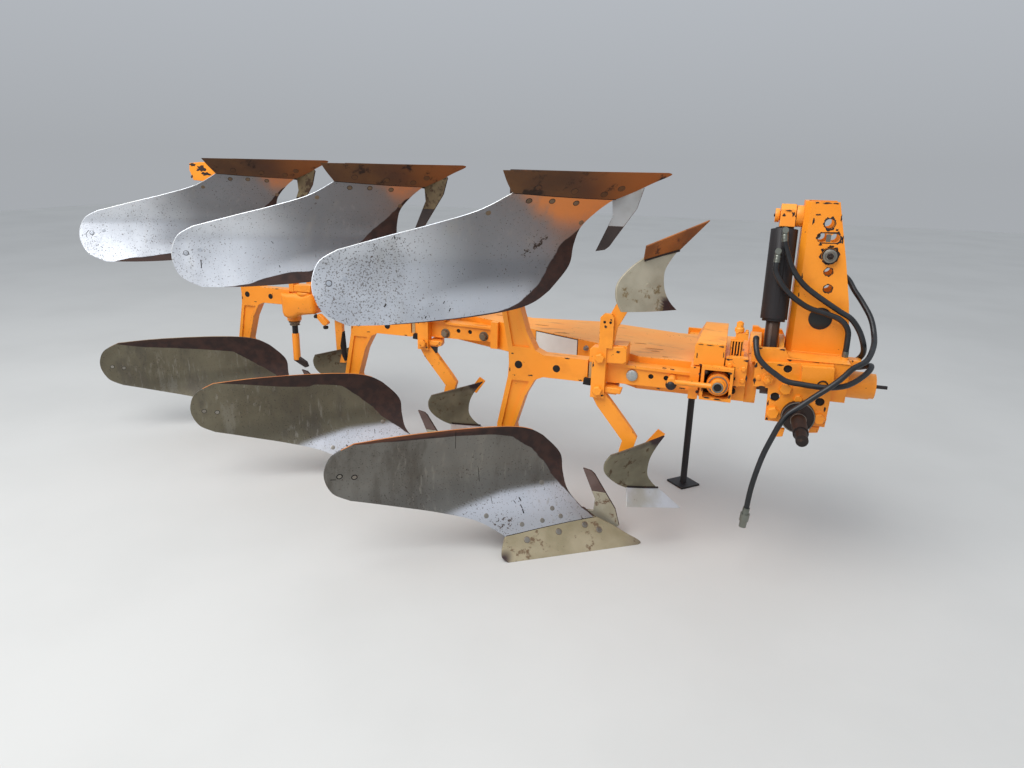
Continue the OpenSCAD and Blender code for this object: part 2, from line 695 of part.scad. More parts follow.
// Pin in the tower, for the top link, with a head at each end
module top_link_pin() {
    top_link_z = axis_height + top_link_rise;
    color("#4a4440") in_place() {
        cross_bar(top_link_x, top_link_z, top_link_d - 2 * pin_play, tower_y0 - 2, tower_y1 + 2);
        for (far = [false, true]) on_side(far)
            cross_bar(top_link_x, top_link_z, 46, tower_y0 - seat - 16, tower_y0 - seat);
    }
}

// Cylinder bracket: a boss on the rear of the tower with the headed pin that carries the cylinder
cyl_x = (web_x1 + slot_x1) / 2;
upper_z = axis_height + pin_rise;
top_pin_d = 30;
end_x0 = cyl_x - 18;
end_x1 = cyl_x + 28;
module cylinder_bracket() {
    color("#f08a1e") in_place() {
        long_bar(axis_side, upper_z, 68, end_x1 + 2, tower_rear - seat);
        long_bar(axis_side, upper_z, top_pin_d, end_x0 - 4, end_x1 + 3);
        long_bar(axis_side, upper_z, 44, end_x0 - 16, end_x0 - 3);
    }
}

// Cylinder, drawn along -Z from its upper pin and then swung onto the crank
rest_swing = atan(crank_r / pin_rise);
end_low = -39;
barrel_high = -45;
barrel_low = -334;
port_d = 19;
port_y = -58;
// Each port is [x from the cylinder's axis, distance along it from the upper pin]
ports = [[0, -56], [-14, -122]];
module swung() {
    in_place() translate([cyl_x, axis_side, upper_z]) rotate([-rest_swing, 0, 0]) children();
}

module cylinder_end() {
    color("#f08a1e") swung() difference() {
        end_plate([[-31, end_low], [31, end_low], [31, 14], [18, 35], [-18, 35], [-31, 14]],
            end_x0 - cyl_x, end_x1 - cyl_x);
        rotate([0, 90, 0]) translate([0, 0, -100]) cylinder(d = top_pin_d + 2 * pin_play, h = 200);
    }
}

module cylinder_barrel() {
    color("#1c1c1e") swung() difference() {
        union() {
            translate([0, 0, barrel_low]) cylinder(d = barrel_d, h = barrel_high - barrel_low);
            translate([0, 0, barrel_low - 8]) cylinder(d = barrel_d - 12, h = 9);
            translate([0, 0, barrel_high - 1]) cylinder(d = 56, h = end_low - seat - barrel_high + 1);
            for (port = ports)
                translate([port[0], 0, port[1]]) rotate([90, 0, 0]) cylinder(d = port_d, h = -port_y);
        }
        translate([0, 0, barrel_low - 9])
            cylinder(d = rod_d + 2 * pin_play, h = barrel_high - barrel_low - 20);
    }
}

module cylinder_rod() {
    color("#2a2624") swung() {
        translate([0, 0, -rest_length + 20]) cylinder(d = rod_d, h = 290);
        translate([pin_x0 + 12 - cyl_x, 0, -rest_length]) rotate([0, 90, 0])
            cylinder(d = eye_d, h = pin_x1 - pin_x0 - 24);
        translate([pin_x0 - cyl_x, 0, -rest_length]) rotate([0, 90, 0])
            cylinder(d = 36, h = pin_x1 - pin_x0);
    }
}

// Valve block on the head block: a stepped body with a capped spool on top
valve_x = 256;
valve_y = -20;
module valve_block() {
    foot = axis_height + valve_seat + seat;
    color("#e07f1a") in_place() {
        block([valve_x - 20, valve_y - 18, foot], [valve_x + 24, valve_y + 20, foot + 26]);
        block([valve_x - 22, valve_y - 16, foot + 25], [valve_x + 18, valve_y + 18, foot + 64]);
        block([valve_x - 8, valve_y - 14, foot + 63], [valve_x + 32, valve_y + 14, foot + 84]);
        translate([valve_x + 2, valve_y, foot + 83]) cylinder(d = 22, h = 34);
    }
}

// Adjusting link: an eye on the sleeve of the head block and a rod back to a knob on the first arm
knob_x = 63;
module adjusting_link() {
    z = axis_height + link_z;
    color("#f08a1e") in_place() {
        cross_bar(link_x, z, sleeve_d, head_near - 50, head_near - seat);
        cross_bar(link_x, z, 44, head_near - 76, head_near - 49);
        long_bar(head_near - 66, z, 17, knob_x, link_x);
        cross_bar(knob_x, z, 28, head_near - 76, arm_out - seat);
    }
}

// Stand: a bracket on the far side of the beam and the leg that folds up to the rear
stand_x = 103;
stand_y = 594;
stand_pin_z = axis_height;
module stand_bracket() {
    color("#f08a1e") in_place() difference() {
        union() {
            translate([stand_x - 30, beam_left + seat, stand_pin_z - 30])
                cube([60, stand_y - beam_left - seat - 31, 60]);
            side_plate(over_axis([[stand_x - 40, -44], [stand_x + 40, -44], [stand_x + 40, 46],
                [stand_x - 40, 46]]), stand_y - 32, stand_y - 18);
        }
        cross_bar(stand_x, stand_pin_z, 20 + 2 * pin_play, stand_y - 80, stand_y);
    }
}

module stand_leg() {
    color("#161616") in_place() {
        translate([stand_x, stand_y, 6]) cylinder(d = stand_d, h = stand_pin_z);
        translate([stand_x, stand_y, 0]) rotate([0, 0, 45]) translate([-50, -50, 0]) cube([100, 100, 8]);
        cross_bar(stand_x, stand_pin_z, 20, stand_y - 50, stand_y);
        cross_bar(stand_x, stand_pin_z, 44, stand_y - 17, stand_y + 17);
    }
}

// Hoses: each route is a list of [x, y, z], chosen by hand
upper_route = [[360, 37.6, 1150.2], [362, 33, 1131], [370, 31, 1108], [378, 31, 1088], [390, 31, 1058],
    [407, 32, 1031], [433, 34, 1001], [460, 36, 979], [500, 38, 953], [555, 38, 920], [590, 36, 900],
    [618, 34, 865], [636, 34, 825], [645, 60, 790], [640, 90, 762], [624, 104, 745], [608.4, 104, 745]];
lower_route = [[346, 23.7, 1085.8], [345, 19, 1066], [345, 16, 1041], [356, 14, 1017], [376, 14, 989],
    [401, 16, 965], [430, 20, 944], [465, 26, 925], [515, 28, 912], [560, 28, 895], [584, 27, 865],
    [588, 26, 825], [588, 26, 778.5]];
supply_route = [[540, 178.6, 1035], [540, 189, 1035], [556, 198, 1024], [585, 190, 1000], [605, 170, 970],
    [632, 150, 935], [660, 120, 890], [672, 90, 845], [668, 40, 815], [645, -25, 785], [603, -66, 765],
    [575, -92, 740], [540, -110, 710], [505, -116, 680], [465, -124, 645], [430, -132, 615],
    [410, -138, 580], [395, -142, 540], [375, -146, 480], [360, -150, 415], [350, -150, 350],
    [345, -150, 285]];
loop_route = [[312, -26, 812.4], [312, -26, 824], [311, -48, 826], [315, -68, 800], [325, -80, 775],
    [350, -86, 750], [380, -88, 730], [415, -88, 710], [460, -88, 705], [515, -88, 702],
    [560, -84, 705], [600, -64, 712], [640, -20, 728], [665, 15, 745], [672, 45, 752], [660, 68, 743],
    [635, 76, 735], [608.5, 76, 735]];
hose_sides = 8;

// A direction carried along the route, square to it, so that the tube doesn't twist
function carried(t, i, n) = i == len(t) ? [] :
    let (m = n - t[i] * (n * t[i]), u = m / norm(m)) concat([u], carried(t, i + 1, u));

module hose(route) {
    last = len(route) - 1;
    t = [for (k = [0 : last])
        let (d = route[min(last, k + 1)] - route[max(0, k - 1)]) d / norm(d)];
    n = carried(t, 0, [0.9, 0.3, 0.3]);
    rings = [for (k = [0 : last], s = [0 : hose_sides - 1])
        let (a = 360 * s / hose_sides)
        route[k] + hose_d / 2 * (cos(a) * n[k] + sin(a) * cross(t[k], n[k]))];
    skin = [for (k = [0 : last - 1], s = [0 : hose_sides - 1])
        let (a = k * hose_sides + s, b = k * hose_sides + (s + 1) % hose_sides)
        [a, a + hose_sides, b + hose_sides, b]];
    ends = [[for (s = [0 : hose_sides - 1]) s],
        [for (s = [hose_sides - 1 : -1 : 0]) last * hose_sides + s]];
    color("#1a1b1d") in_place() polyhedron(points = rings, faces = concat(skin, ends), convexity = 8);
}

// Elbows that the two hoses of the cylinder start from, drawn as the ports are
elbow_drop = 13;
module hose_elbows() {
    color("#8a8c84") swung() for (port = ports) translate([port[0], port_y - seat, port[1]]) {
        rotate([90, 0, 0]) cylinder(d = port_d, h = 21);
        translate([0, -11, -elbow_drop]) cylinder(d = port_d, h = elbow_drop);
    }
}

// Coupler on the free end of the supply hose
module hose_coupler() {
    foot = supply_route[len(supply_route) - 1];
    d = foot - supply_route[len(supply_route) - 2];
    color("#6f7068") in_place() translate(foot) rotate([0, acos(d[2] / norm(d)), atan2(d[1], d[0])]) {
        translate([0, 0, seat]) cylinder(d = 22, h = 22);
        translate([0, 0, seat + 21]) cylinder(d = 30, h = 26);
        translate([0, 0, seat + 46]) cylinder(d = 24, h = 24);
    }
}

tower();
tower_base();
hitch_plate(false);  // hitch_plate_right
hitch_plate(true);  // hitch_plate_left
hitch_shaft();
shaft_housing();
front_stud();
top_link_pin();
cylinder_bracket();
cylinder_end();
cylinder_barrel();
cylinder_rod();
turnover_hub();
head_block();
valve_block();
main_beam();
adjusting_link();
arm(0);  // arm_1
arm(1);  // arm_2
arm(2);  // arm_3
rear_casting();
rear_spindle();
mouldboard(0, false);  // mouldboard_1_lower
mouldboard(0, true);  // mouldboard_1_upper
mouldboard(1, false);  // mouldboard_2_lower
mouldboard(1, true);  // mouldboard_2_upper
mouldboard(2, false);  // mouldboard_3_lower
mouldboard(2, true);  // mouldboard_3_upper
share(0, false);  // share_1_lower
share(0, true);  // share_1_upper
share(1, false);  // share_2_lower
share(1, true);  // share_2_upper
share(2, false);  // share_3_lower
share(2, true);  // share_3_upper
frog(0, false);  // frog_1_lower
frog(0, true);  // frog_1_upper
frog(1, false);  // frog_2_lower
frog(1, true);  // frog_2_upper
frog(2, false);  // frog_3_lower
frog(2, true);  // frog_3_upper
skimmer(0, false);  // skimmer_1_lower
skimmer(0, true);  // skimmer_1_upper
skimmer(1, false);  // skimmer_2_lower
skimmer(1, true);  // skimmer_2_upper
skimmer(2, false);  // skimmer_3_lower
skimmer(2, true);  // skimmer_3_upper
skimmer_stem(0);  // skimmer_stem_1
skimmer_stem(1);  // skimmer_stem_2
skimmer_stem(2);  // skimmer_stem_3
stand_bracket();
stand_leg();
hose(upper_route);  // hose_upper
hose(lower_route);  // hose_lower
hose(supply_route);  // hose_supply
hose(loop_route);  // hose_loop
hose_elbows();
hose_coupler();
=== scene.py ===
"""Looks of the mounted reversible plough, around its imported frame. Lengths are in metres."""
import bpy
import math
from mathutils import Vector, Matrix, noise


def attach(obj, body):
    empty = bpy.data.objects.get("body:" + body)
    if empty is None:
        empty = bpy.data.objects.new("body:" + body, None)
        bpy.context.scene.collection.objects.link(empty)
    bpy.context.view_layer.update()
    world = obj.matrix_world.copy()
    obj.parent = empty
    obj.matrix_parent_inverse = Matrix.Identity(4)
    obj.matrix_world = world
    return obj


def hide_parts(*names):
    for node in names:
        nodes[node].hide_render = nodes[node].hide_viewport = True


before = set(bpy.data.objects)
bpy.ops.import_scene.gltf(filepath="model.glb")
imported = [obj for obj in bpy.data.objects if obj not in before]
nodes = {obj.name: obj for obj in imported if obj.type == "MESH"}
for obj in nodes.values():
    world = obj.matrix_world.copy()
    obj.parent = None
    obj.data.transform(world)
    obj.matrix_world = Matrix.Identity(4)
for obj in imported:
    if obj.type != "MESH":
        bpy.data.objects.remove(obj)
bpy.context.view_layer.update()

# Places are measured from the point of the first lower share; SHIFT takes them to the part's frame
SHIFT = Vector((0.9651206, -0.2212441, 0.0))
BODY_SPACING = 0.840
BODY_WIDTH = 0.360
AXIS_HEIGHT = 0.664
AXIS_SIDE = 120  # millimetres
STATIONS = [(i, upper) for i in range(3) for upper in (False, True)]


# Camera
CAMERA_PLACE = Vector((0.234, -2.418, 1.369))
CAMERA_FORWARD = Vector((-0.2830, 0.9101, -0.3027))
CAMERA_RIGHT = Vector((0.9526, 0.3035, 0.0222))
LENS_MM = 25.27


def make_camera():
    data = bpy.data.cameras.new("camera")
    data.sensor_width = 36
    data.lens = LENS_MM
    data.clip_start, data.clip_end = 0.05, 60
    camera = bpy.data.objects.new("camera", data)
    bpy.context.scene.collection.objects.link(camera)
    forward = CAMERA_FORWARD.normalized()
    right = (CAMERA_RIGHT - forward * CAMERA_RIGHT.dot(forward)).normalized()
    up = right.cross(forward)
    turn = Matrix((right, up, -forward)).transposed().to_4x4()
    camera.matrix_world = Matrix.Translation(CAMERA_PLACE + SHIFT) @ turn
    bpy.context.scene.camera = camera


make_camera()


# Materials
def linear(hex_colour):
    """sRGB hex to the linear colour that a shader socket takes."""
    values = [int(hex_colour[i:i + 2], 16) / 255 for i in (1, 3, 5)]
    return [v / 12.92 if v <= 0.04045 else ((v + 0.055) / 1.055) ** 2.4 for v in values] + [1.0]


def put(tree, kind, settings=None, **sockets):
    """Adds one node. A socket name has _ for each space, or is s0, s1 for a socket by its number."""
    made = tree.nodes.new(kind)
    for name, value in (settings or {}).items():
        setattr(made, name, value)
    for name, value in sockets.items():
        by_number = name[0] == "s" and name[1:].isdigit()
        socket = made.inputs[int(name[1:]) if by_number else name.replace("_", " ")]
        if isinstance(value, bpy.types.NodeSocket):
            tree.links.new(value, socket)
        else:
            socket.default_value = value
    return made


class Look:
    """A material under construction: its tree, its shader and short names for the nodes used most."""

    def __init__(self, name):
        self.material = bpy.data.materials.new(name)
        self.material.use_nodes = True
        self.tree = self.material.node_tree
        self.tree.nodes.clear()
        self.shader = self.tree.nodes.new("ShaderNodeBsdfPrincipled")
        output = self.tree.nodes.new("ShaderNodeOutputMaterial")
        self.tree.links.new(self.shader.outputs[0], output.inputs[0])
        self.place = put(self.tree, "ShaderNodeTexCoord")

    def spots(self, per_metre, detail=4.0, rough=0.55, stretch=(1, 1, 1), start=(0, 0, 0)):
        """Noise from 0 to 1, with so many blobs to a metre."""
        moved = put(self.tree, "ShaderNodeMapping", Vector=self.place.outputs["Object"],
                    Scale=stretch, Location=start)
        return put(self.tree, "ShaderNodeTexNoise", Vector=moved.outputs[0], Scale=per_metre,
                   Detail=detail, Roughness=rough).outputs[0]

    def step(self, value, low, high, out_low=0.0, out_high=1.0):
        """Smooth change of a value from out_low at low to out_high at high."""
        return put(self.tree, "ShaderNodeMapRange", {"interpolation_type": "SMOOTHSTEP"}, s0=value,
                   s1=low, s2=high, s3=out_low, s4=out_high).outputs[0]

    def sum(self, operation, a, b):
        return put(self.tree, "ShaderNodeMath", {"operation": operation, "use_clamp": True},
                   s0=a, s1=b).outputs[0]

    def mix(self, share, a, b):
        """Colour a where share is 0, b where it is 1. Each is a hex colour or a socket."""
        a, b = [linear(c) if isinstance(c, str) else c for c in (a, b)]
        made = put(self.tree, "ShaderNodeMix", {"data_type": "RGBA"}, s0=share, s6=a, s7=b)
        return made.outputs[2]

    def between(self, share, a, b):
        made = put(self.tree, "ShaderNodeMix", {"data_type": "FLOAT"}, s0=share, s2=a, s3=b)
        return made.outputs[0]

    def attribute(self, name):
        return put(self.tree, "ShaderNodeAttribute", {"attribute_name": name}).outputs["Fac"]

    def upward(self):
        """1 where the surface faces up, as the part stands."""
        split = put(self.tree, "ShaderNodeSeparateXYZ", Vector=self.place.outputs["Normal"])
        return self.step(split.outputs[2], 0.3, 0.95)

    def set(self, **sockets):
        for name, value in sockets.items():
            socket = self.shader.inputs[name.replace("_", " ")]
            if isinstance(value, str):
                value = linear(value)
            if isinstance(value, bpy.types.NodeSocket):
                self.tree.links.new(value, socket)
            else:
                socket.default_value = value

    def bump(self, height, depth):
        """Bumps of a height from 0 to 1, times a depth in metres."""
        made = put(self.tree, "ShaderNodeBump", Strength=0.6, Distance=depth, Height=height)
        self.tree.links.new(made.outputs[0], self.shader.inputs["Normal"])


def orange_paint(name, chips=0.70, edge=False):
    """Farm orange, faded and dusty on top, grimy in places, chipped to rust and dark steel."""
    look = Look(name)
    fade = look.step(look.spots(3.0), 0.35, 0.70)
    colour = look.mix(fade, "#FB9A26", "#F48E18")
    grime = look.step(look.spots(11.0, start=(3, 1, 7)), 0.52, 0.75, 0.0, 0.40)
    colour = look.mix(grime, colour, "#D67816")
    dust = look.step(look.spots(7.0, start=(9, 2, 2)), 0.3, 0.7, 0.15, 0.6)
    dust = look.sum("MULTIPLY", look.upward(), dust)
    colour = look.mix(dust, colour, "#F4AA4E")
    stain = look.spots(26.0, detail=6.0, rough=0.65, stretch=(0.35, 1.0, 1.0), start=(2, 6, 4))
    stained = look.sum("MULTIPLY", look.upward(), look.step(stain, 0.54, 0.70, 0.0, 0.50))
    colour = look.mix(stained, colour, "#8A5426")
    chip_noise = look.spots(60.0, detail=6.0, rough=0.7, start=(1, 5, 3))
    patches = look.step(look.spots(6.0, start=(4, 4, 1)), 0.45, 0.72, 0.0, 0.10)
    bare = look.step(look.sum("ADD", chip_noise, patches), chips, chips + 0.03)
    if edge:
        bare = look.step(look.spots(90.0, detail=6.0, rough=0.7), 0.52, 0.60)
        colour = look.mix(0.30, colour, "#FFB24C")
    rust = look.mix(look.step(look.spots(140.0), 0.4, 0.6), "#5A2E17", "#2B1C16")
    look.set(Base_Color=look.mix(bare, colour, rust), Roughness=look.between(bare, 0.42, 0.85))
    look.bump(look.sum("SUBTRACT", look.spots(220.0, detail=3.0), bare), 0.0006)
    return look.material


def board_steel(name, upper, shine=1.0, strip="#3A241B", tones=("#7F7E79", "#6D6B66")):
    """Mouldboard steel, scoured by soil, with brown paint left along the shin and the top, and a painted
    reflection where a board's reflection mark is high.
    """
    look = Look(name)
    streaks = look.spots(9.0, detail=6.0, rough=0.65, stretch=(1.0, 1.0, 0.22))
    cloud = look.spots(3.5, start=(2, 8, 5))
    if upper:
        # Painted reflection: the upper boards go from dark grey to pale blue-white where the reflection mark
        # is high
        steel = look.mix(look.attribute("painted_reflection"), "#85878B", "#D9DDE3")
        steel = look.mix(look.step(cloud, 0.42, 0.68, 0.0, 0.45), steel, "#8D9096")
        steel = look.mix(look.step(streaks, 0.55, 0.75, 0.0, 0.35), steel, "#A9A79F")
    else:
        steel = look.mix(look.step(cloud, 0.3, 0.7), *tones)
        steel = look.mix(look.step(streaks, 0.50, 0.68, 0.0, 0.65), steel, "#57534D")
        steel = look.mix(look.step(streaks, 0.44, 0.34, 0.0, 0.30), steel, "#98958B")
        # Painted highlight: the lower boards go pale blue-white where the reflection mark is high
        steel = look.mix(look.attribute("painted_reflection"), steel, "#D6D9E0")
    strands = look.step(look.spots(75.0, detail=3.0, stretch=(1.0, 1.0, 0.12), start=(1, 1, 4)), 0.56, 0.70)
    patch = look.step(look.spots(5.0, detail=2.0, start=(3, 7, 7)), 0.42, 0.62, 0.0, 0.15 if upper else 0.40)
    steel = look.mix(look.sum("MULTIPLY", strands, patch), steel, "#B9B8B4" if upper else "#A39F95")
    speck = look.spots(70.0 if upper else 85.0, detail=5.0, rough=0.7, start=(6, 2, 9))
    zone = look.step(look.spots(4.0, start=(8, 1, 2)), 0.40, 0.65, 0.0, 0.07)
    zone = look.sum("ADD", zone, look.between(look.attribute("painted_reflection"), 0.0, 0.0 if upper else 0.03))
    zone = look.sum("ADD", zone, look.between(look.attribute("clump"), 0.0, 0.24))
    rusty = look.step(look.sum("ADD", speck, zone), 0.71 if upper else 0.69, 0.74 if upper else 0.72)
    fine = look.sum("ADD", look.spots(185.0, detail=1.0), look.between(look.attribute("fine"), 0.0, 0.12))
    fine = look.step(look.sum("ADD", fine, look.step(cloud, 0.35, 0.65, 0.0, 0.05)), 0.72, 0.76, 0.0, 0.75)
    rusty = look.sum("MAXIMUM", rusty, fine)
    steel = look.mix(rusty, steel, look.mix(look.step(speck, 0.66, 0.74), "#322A26", "#4E3A2C"))
    ragged = look.step(look.spots(30.0, detail=5.0, start=(5, 5, 5)), 0.3, 0.7, -0.03, 0.03)
    foot = look.sum("ADD", look.attribute("foot"), ragged)
    foot = look.sum("SUBTRACT", foot, look.step(streaks, 0.45, 0.70, 0.0, 0.30))
    foot = look.step(foot, -0.10, 1.05, 0.0, 0.95)
    steel = look.mix(foot, steel, look.mix(foot, "#B0845A", "#EA8E44"))
    dark = look.step(look.sum("ADD", look.attribute("dark"), ragged), 0.46, 0.54)
    brown = look.mix(look.step(look.spots(25.0), 0.35, 0.65), "#3E2720", "#2B1B18")
    brown = look.mix(look.attribute("top"), brown, strip)
    colour = look.mix(dark, steel, brown)
    dull = look.sum("MAXIMUM", dark, look.sum("MAXIMUM", rusty, foot))
    look.set(Base_Color=colour, Metallic=look.between(dull, shine, 0.0),
             Roughness=look.between(dull, look.step(streaks, 0.3, 0.8, 0.32, 0.48), 0.75))
    look.bump(look.sum("SUBTRACT", look.spots(160.0, detail=3.0), rusty), 0.0004)
    return look.material


def worn_steel(name, light, deep, rust="#6B4227", rust_from=0.52, metallic=0.8, roughness=0.5,
               per_metre=26.0):
    """Steel that has rusted again: two tones of metal with rust over part of it."""
    look = Look(name)
    tone = look.mix(look.step(look.spots(8.0, detail=5.0), 0.3, 0.7), light, deep)
    flecks = look.sum("ADD", look.spots(per_metre, detail=7.0, rough=0.68, start=(7, 3, 1)),
                     look.between(look.attribute("speck"), 0.0, 0.10))
    cover = look.step(flecks, rust_from, rust_from + 0.10)
    tone = look.mix(look.attribute("mark"), tone, "#3A2A2C")
    tone = look.mix(look.attribute("warm"), tone, "#B26A30")
    grit = look.spots(190.0, detail=3.0)
    look.set(Base_Color=look.mix(cover, tone, rust), Metallic=look.between(cover, metallic, 0.1),
             Roughness=look.between(cover, roughness, 0.85))
    look.bump(look.sum("ADD", grit, look.sum("MULTIPLY", cover, 0.4)), 0.0006)
    return look.material


def plain(name, colour, roughness, metallic=0.0, other=None, spread=6.0, grit=0.0002):
    """One colour, with a second in soft patches and a fine grain."""
    look = Look(name)
    patch = look.step(look.spots(spread, detail=5.0), 0.35, 0.70)
    look.set(Base_Color=look.mix(patch, colour, other or colour), Roughness=roughness, Metallic=metallic)
    look.bump(look.spots(200.0, detail=3.0), grit)
    return look.material


ORANGE = orange_paint("orange paint")
ORANGE_EDGE = orange_paint("orange paint worn at the edges", edge=True)
ORANGE_CAST = orange_paint("orange paint on castings", chips=0.66)
BOARD_UPPER = board_steel("scoured mouldboard steel", True, shine=0.75)
BOARD_LOWER = board_steel("weathered mouldboard steel", False, shine=0.85, strip="#5E3522")
BOARD_BROWN = board_steel("weathered mouldboard steel with brown top", False, shine=0.85,
                          tones=("#7A7564", "#625D4F"))
SHARE_UPPER = worn_steel("rusty share steel", "#6E4C2E", "#573C29", rust="#30221A", rust_from=0.54,
                         metallic=0.25, roughness=0.65, per_metre=11.0)
SHARE_LOWER = worn_steel("worn share steel", "#A79C82", "#8E8468", rust="#6E5A44", rust_from=0.60,
                         metallic=0.35, roughness=0.6)
KNIFE = worn_steel("scoured knife steel", "#C4BEAC", "#A39A85", rust="#6A4E38", rust_from=0.56, metallic=0.5)
SKIM_BOARD = worn_steel("dull skimmer steel", "#8A836C", "#6A6350", rust="#54432F", rust_from=0.58,
                        metallic=0.35, roughness=0.6)
SKIM_PALE = worn_steel("pale skimmer steel", "#BDB5A0", "#9A917C", rust="#7A6848", rust_from=0.62,
                       metallic=0.3, roughness=0.6)
SKIM_BLADE = worn_steel("scoured skimmer share", "#DADCE2", "#BDB9AE", rust="#84705A", rust_from=0.63,
                        metallic=0.6)
SKIM_RUST = worn_steel("rusty skimmer share", "#A8642C", "#7E4A24", rust="#5A3420", rust_from=0.55,
                       metallic=0.1, roughness=0.7)
KNIFE_PALE = worn_steel("scoured upper knife steel", "#C3C4C4", "#A09E98", rust="#6A5442", rust_from=0.62,
                        metallic=0.6)
KNIFE_RUSTY = worn_steel("rusty knife steel", "#8E7E5C", "#6A5840", rust="#4A3828", rust_from=0.50,
                         metallic=0.3)
KNIFE_DARK = worn_steel("dark end of a knife", "#453A36", "#352C2A", rust="#5A4032", rust_from=0.60,
                        metallic=0.3)
KNIFE_BROWN = worn_steel("brown end of a knife", "#75625C", "#5C4843", rust="#8A7A66", rust_from=0.58,
                         metallic=0.2)
FROG = worn_steel("dark rusty casting", "#4A3226", "#38261E", rust="#6B3E22", rust_from=0.55, metallic=0.2,
                  roughness=0.8)
DARK_STEEL = worn_steel("dark greasy steel", "#3A2E2A", "#241D1B", rust="#4E382A", rust_from=0.60,
                        metallic=0.5)
BRIGHT_STEEL = worn_steel("bright worn steel", "#9A958C", "#7E7970", rust="#7A5A3C", rust_from=0.62,
                          metallic=0.9, roughness=0.4)
ZINC_BOLT = worn_steel("zinc plated steel", "#B9BBB8", "#8F908C", rust="#6B5138", rust_from=0.64,
                       metallic=0.8, roughness=0.45)
BOLT_BROWN = worn_steel("weathered bolt steel", "#8A7A66", "#6E5E4C", rust="#5A4030", rust_from=0.58,
                        metallic=0.6, roughness=0.55)
RUST_CHIP = worn_steel("rusty bare patch", "#3A2822", "#241B1A", rust="#5E3A22", rust_from=0.58,
                       metallic=0.1, roughness=0.8, per_metre=90.0)
BLACK_PAINT = plain("black paint", "#161113", 0.55, other="#20191A", spread=8.0)
BLACK_ROD = plain("dark greased rod", "#4A3324", 0.35, metallic=0.3, other="#2E211A", spread=14.0)
BLACK_HOSE = plain("black hose rubber", "#17181A", 0.42, other="#232427", spread=20.0, grit=0.0001)
# Near-black for scratches, dark spots and seams, and as painted shade inside holes and openings
BLACK_DIRT_AND_SHADE = plain("black for dirt and painted shade", "#14100E", 0.9, other="#1E1713", spread=30.0)
GREY_FITTING = plain("zinc hose fitting", "#8A8C84", 0.38, 0.9, other="#6F7168")
WHITE_PLATE = plain("white plate", "#ECE9E2", 0.4, other="#DEDAD0")
BADGE_BLACK = plain("black badge", "#121212", 0.35)
BEIGE = plain("beige primer", "#B79A6E", 0.7, other="#9C7F55")
# Painted highlight: a pale rod along the upper boards' edge stands in for light caught by the plate's
# thickness
PAINTED_HIGHLIGHT_RIM = plain("painted highlight along a board's edge", "#E6E9EE", 0.35, 0.5, other="#CFCFCB", spread=12.0)
ORANGE_RIM = plain("orange edge of a board", "#D88A48", 0.6, other="#B0683A", spread=12.0)
BROWN_RIM = plain("dusty edge of a board", "#9A8468", 0.6, other="#7A5F46", spread=12.0)
BOARD_HEAD = plain("ground bolt head", "#BFC4CC", 0.35, 0.7, other="#A6A8AA", spread=30.0)
SCRATCH = plain("scratched orange paint", "#BE7A30", 0.6, other="#8C5222", spread=20.0)

# Making pieces
NEAR, FAR, UP, DOWN, AHEAD, BEHIND = (0, -1, 0), (0, 1, 0), (0, 0, 1), (0, 0, -1), (1, 0, 0), (-1, 0, 0)


def tip(x, y, z, i=0, upper=False):
    """From a body's own millimetres, as the lower first one has them, to metres in the part's frame."""
    return Vector((x / 1000 - i * BODY_SPACING, y / 1000 + i * BODY_WIDTH,
                   2 * AXIS_HEIGHT - z / 1000 if upper else z / 1000)) + SHIFT


def piece(name, points, faces, look, body, bevel=0.0, attributes=None):
    """A piece made of points and faces in the part's frame, riding on a body."""
    mesh = bpy.data.meshes.new(name)
    mesh.from_pydata([tuple(p) for p in points], [], faces)
    mesh.validate()
    for key, values in (attributes or {}).items():
        mesh.attributes.new(key, "FLOAT", "POINT").data.foreach_set("value", values)
    mesh.materials.append(look)
    for polygon in mesh.polygons:
        polygon.use_smooth = True
    mesh.set_sharp_from_angle(angle=math.radians(35))
    made = bpy.data.objects.new(name, mesh)
    bpy.context.scene.collection.objects.link(made)
    if bevel:
        edge = made.modifiers.new("edge", "BEVEL")
        edge.width, edge.segments, edge.limit_method, edge.angle_limit = bevel, 2, "ANGLE", math.radians(40)
    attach(made, body)
    return made


def group(name, solids, look, body, **more):
    """One piece of several closed solids, each a list of points and one of faces."""
    points, faces = [], []
    for some, these in solids:
        faces += [tuple(k + len(points) for k in f) for f in these]
        points += some
    return piece(name, points, faces, look, body, **more)


def skin(rings, sides, closed=False):
    """Faces over rings of points, with an end face on the first and the last unless these two meet."""
    faces = []
    for k in range(rings if closed else rings - 1):
        for s in range(sides):
            a, b = k * sides + s, k * sides + (s + 1) % sides
            c, d = [(v + sides) % (rings * sides) for v in (a, b)]
            faces.append((a, b, d, c))
    if not closed:
        faces += [tuple(range(sides))[::-1], tuple(range((rings - 1) * sides, rings * sides))]
    return faces


def flip(faces, flipped=True):
    return [f[::-1] for f in faces] if flipped else faces


def turned(profile, centre, axis=NEAR, sides=20):
    """A turned solid; profile is a list of (radius, height along the axis) in millimetres."""
    axis = Vector(axis).normalized()
    across = axis.orthogonal().normalized()
    other = axis.cross(across)
    points = []
    for radius, height in profile:
        for k in range(sides):
            a = 2 * math.pi * (k + 0.5) / sides
            out = (across * math.cos(a) + other * math.sin(a)) * radius
            points.append(centre + (axis * height + out) / 1000)
    return points, skin(len(profile), sides)


def bolt(centre, across, washer=0, stub=0, axis=NEAR, height=0.6):
    """Hexagon head with its washer and, where one shows, the end of its screw."""
    base = 3 if washer else 0
    corner, top = across / math.sqrt(3), base + height * across
    head = [(corner, base - 1), (corner, top - 0.12 * across), (0.86 * corner, top)]
    solids = [turned(head, centre, axis, 6)]
    if washer:
        rim = washer / 2
        solids.append(turned([(rim, -1), (rim, 2), (rim - 1, 3)], centre, axis, 24))
    if stub:
        rim = stub / 2
        solids.append(turned([(rim, 0), (rim, top + 5), (rim - 1.5, top + 6.5)], centre, axis, 12))
    return solids


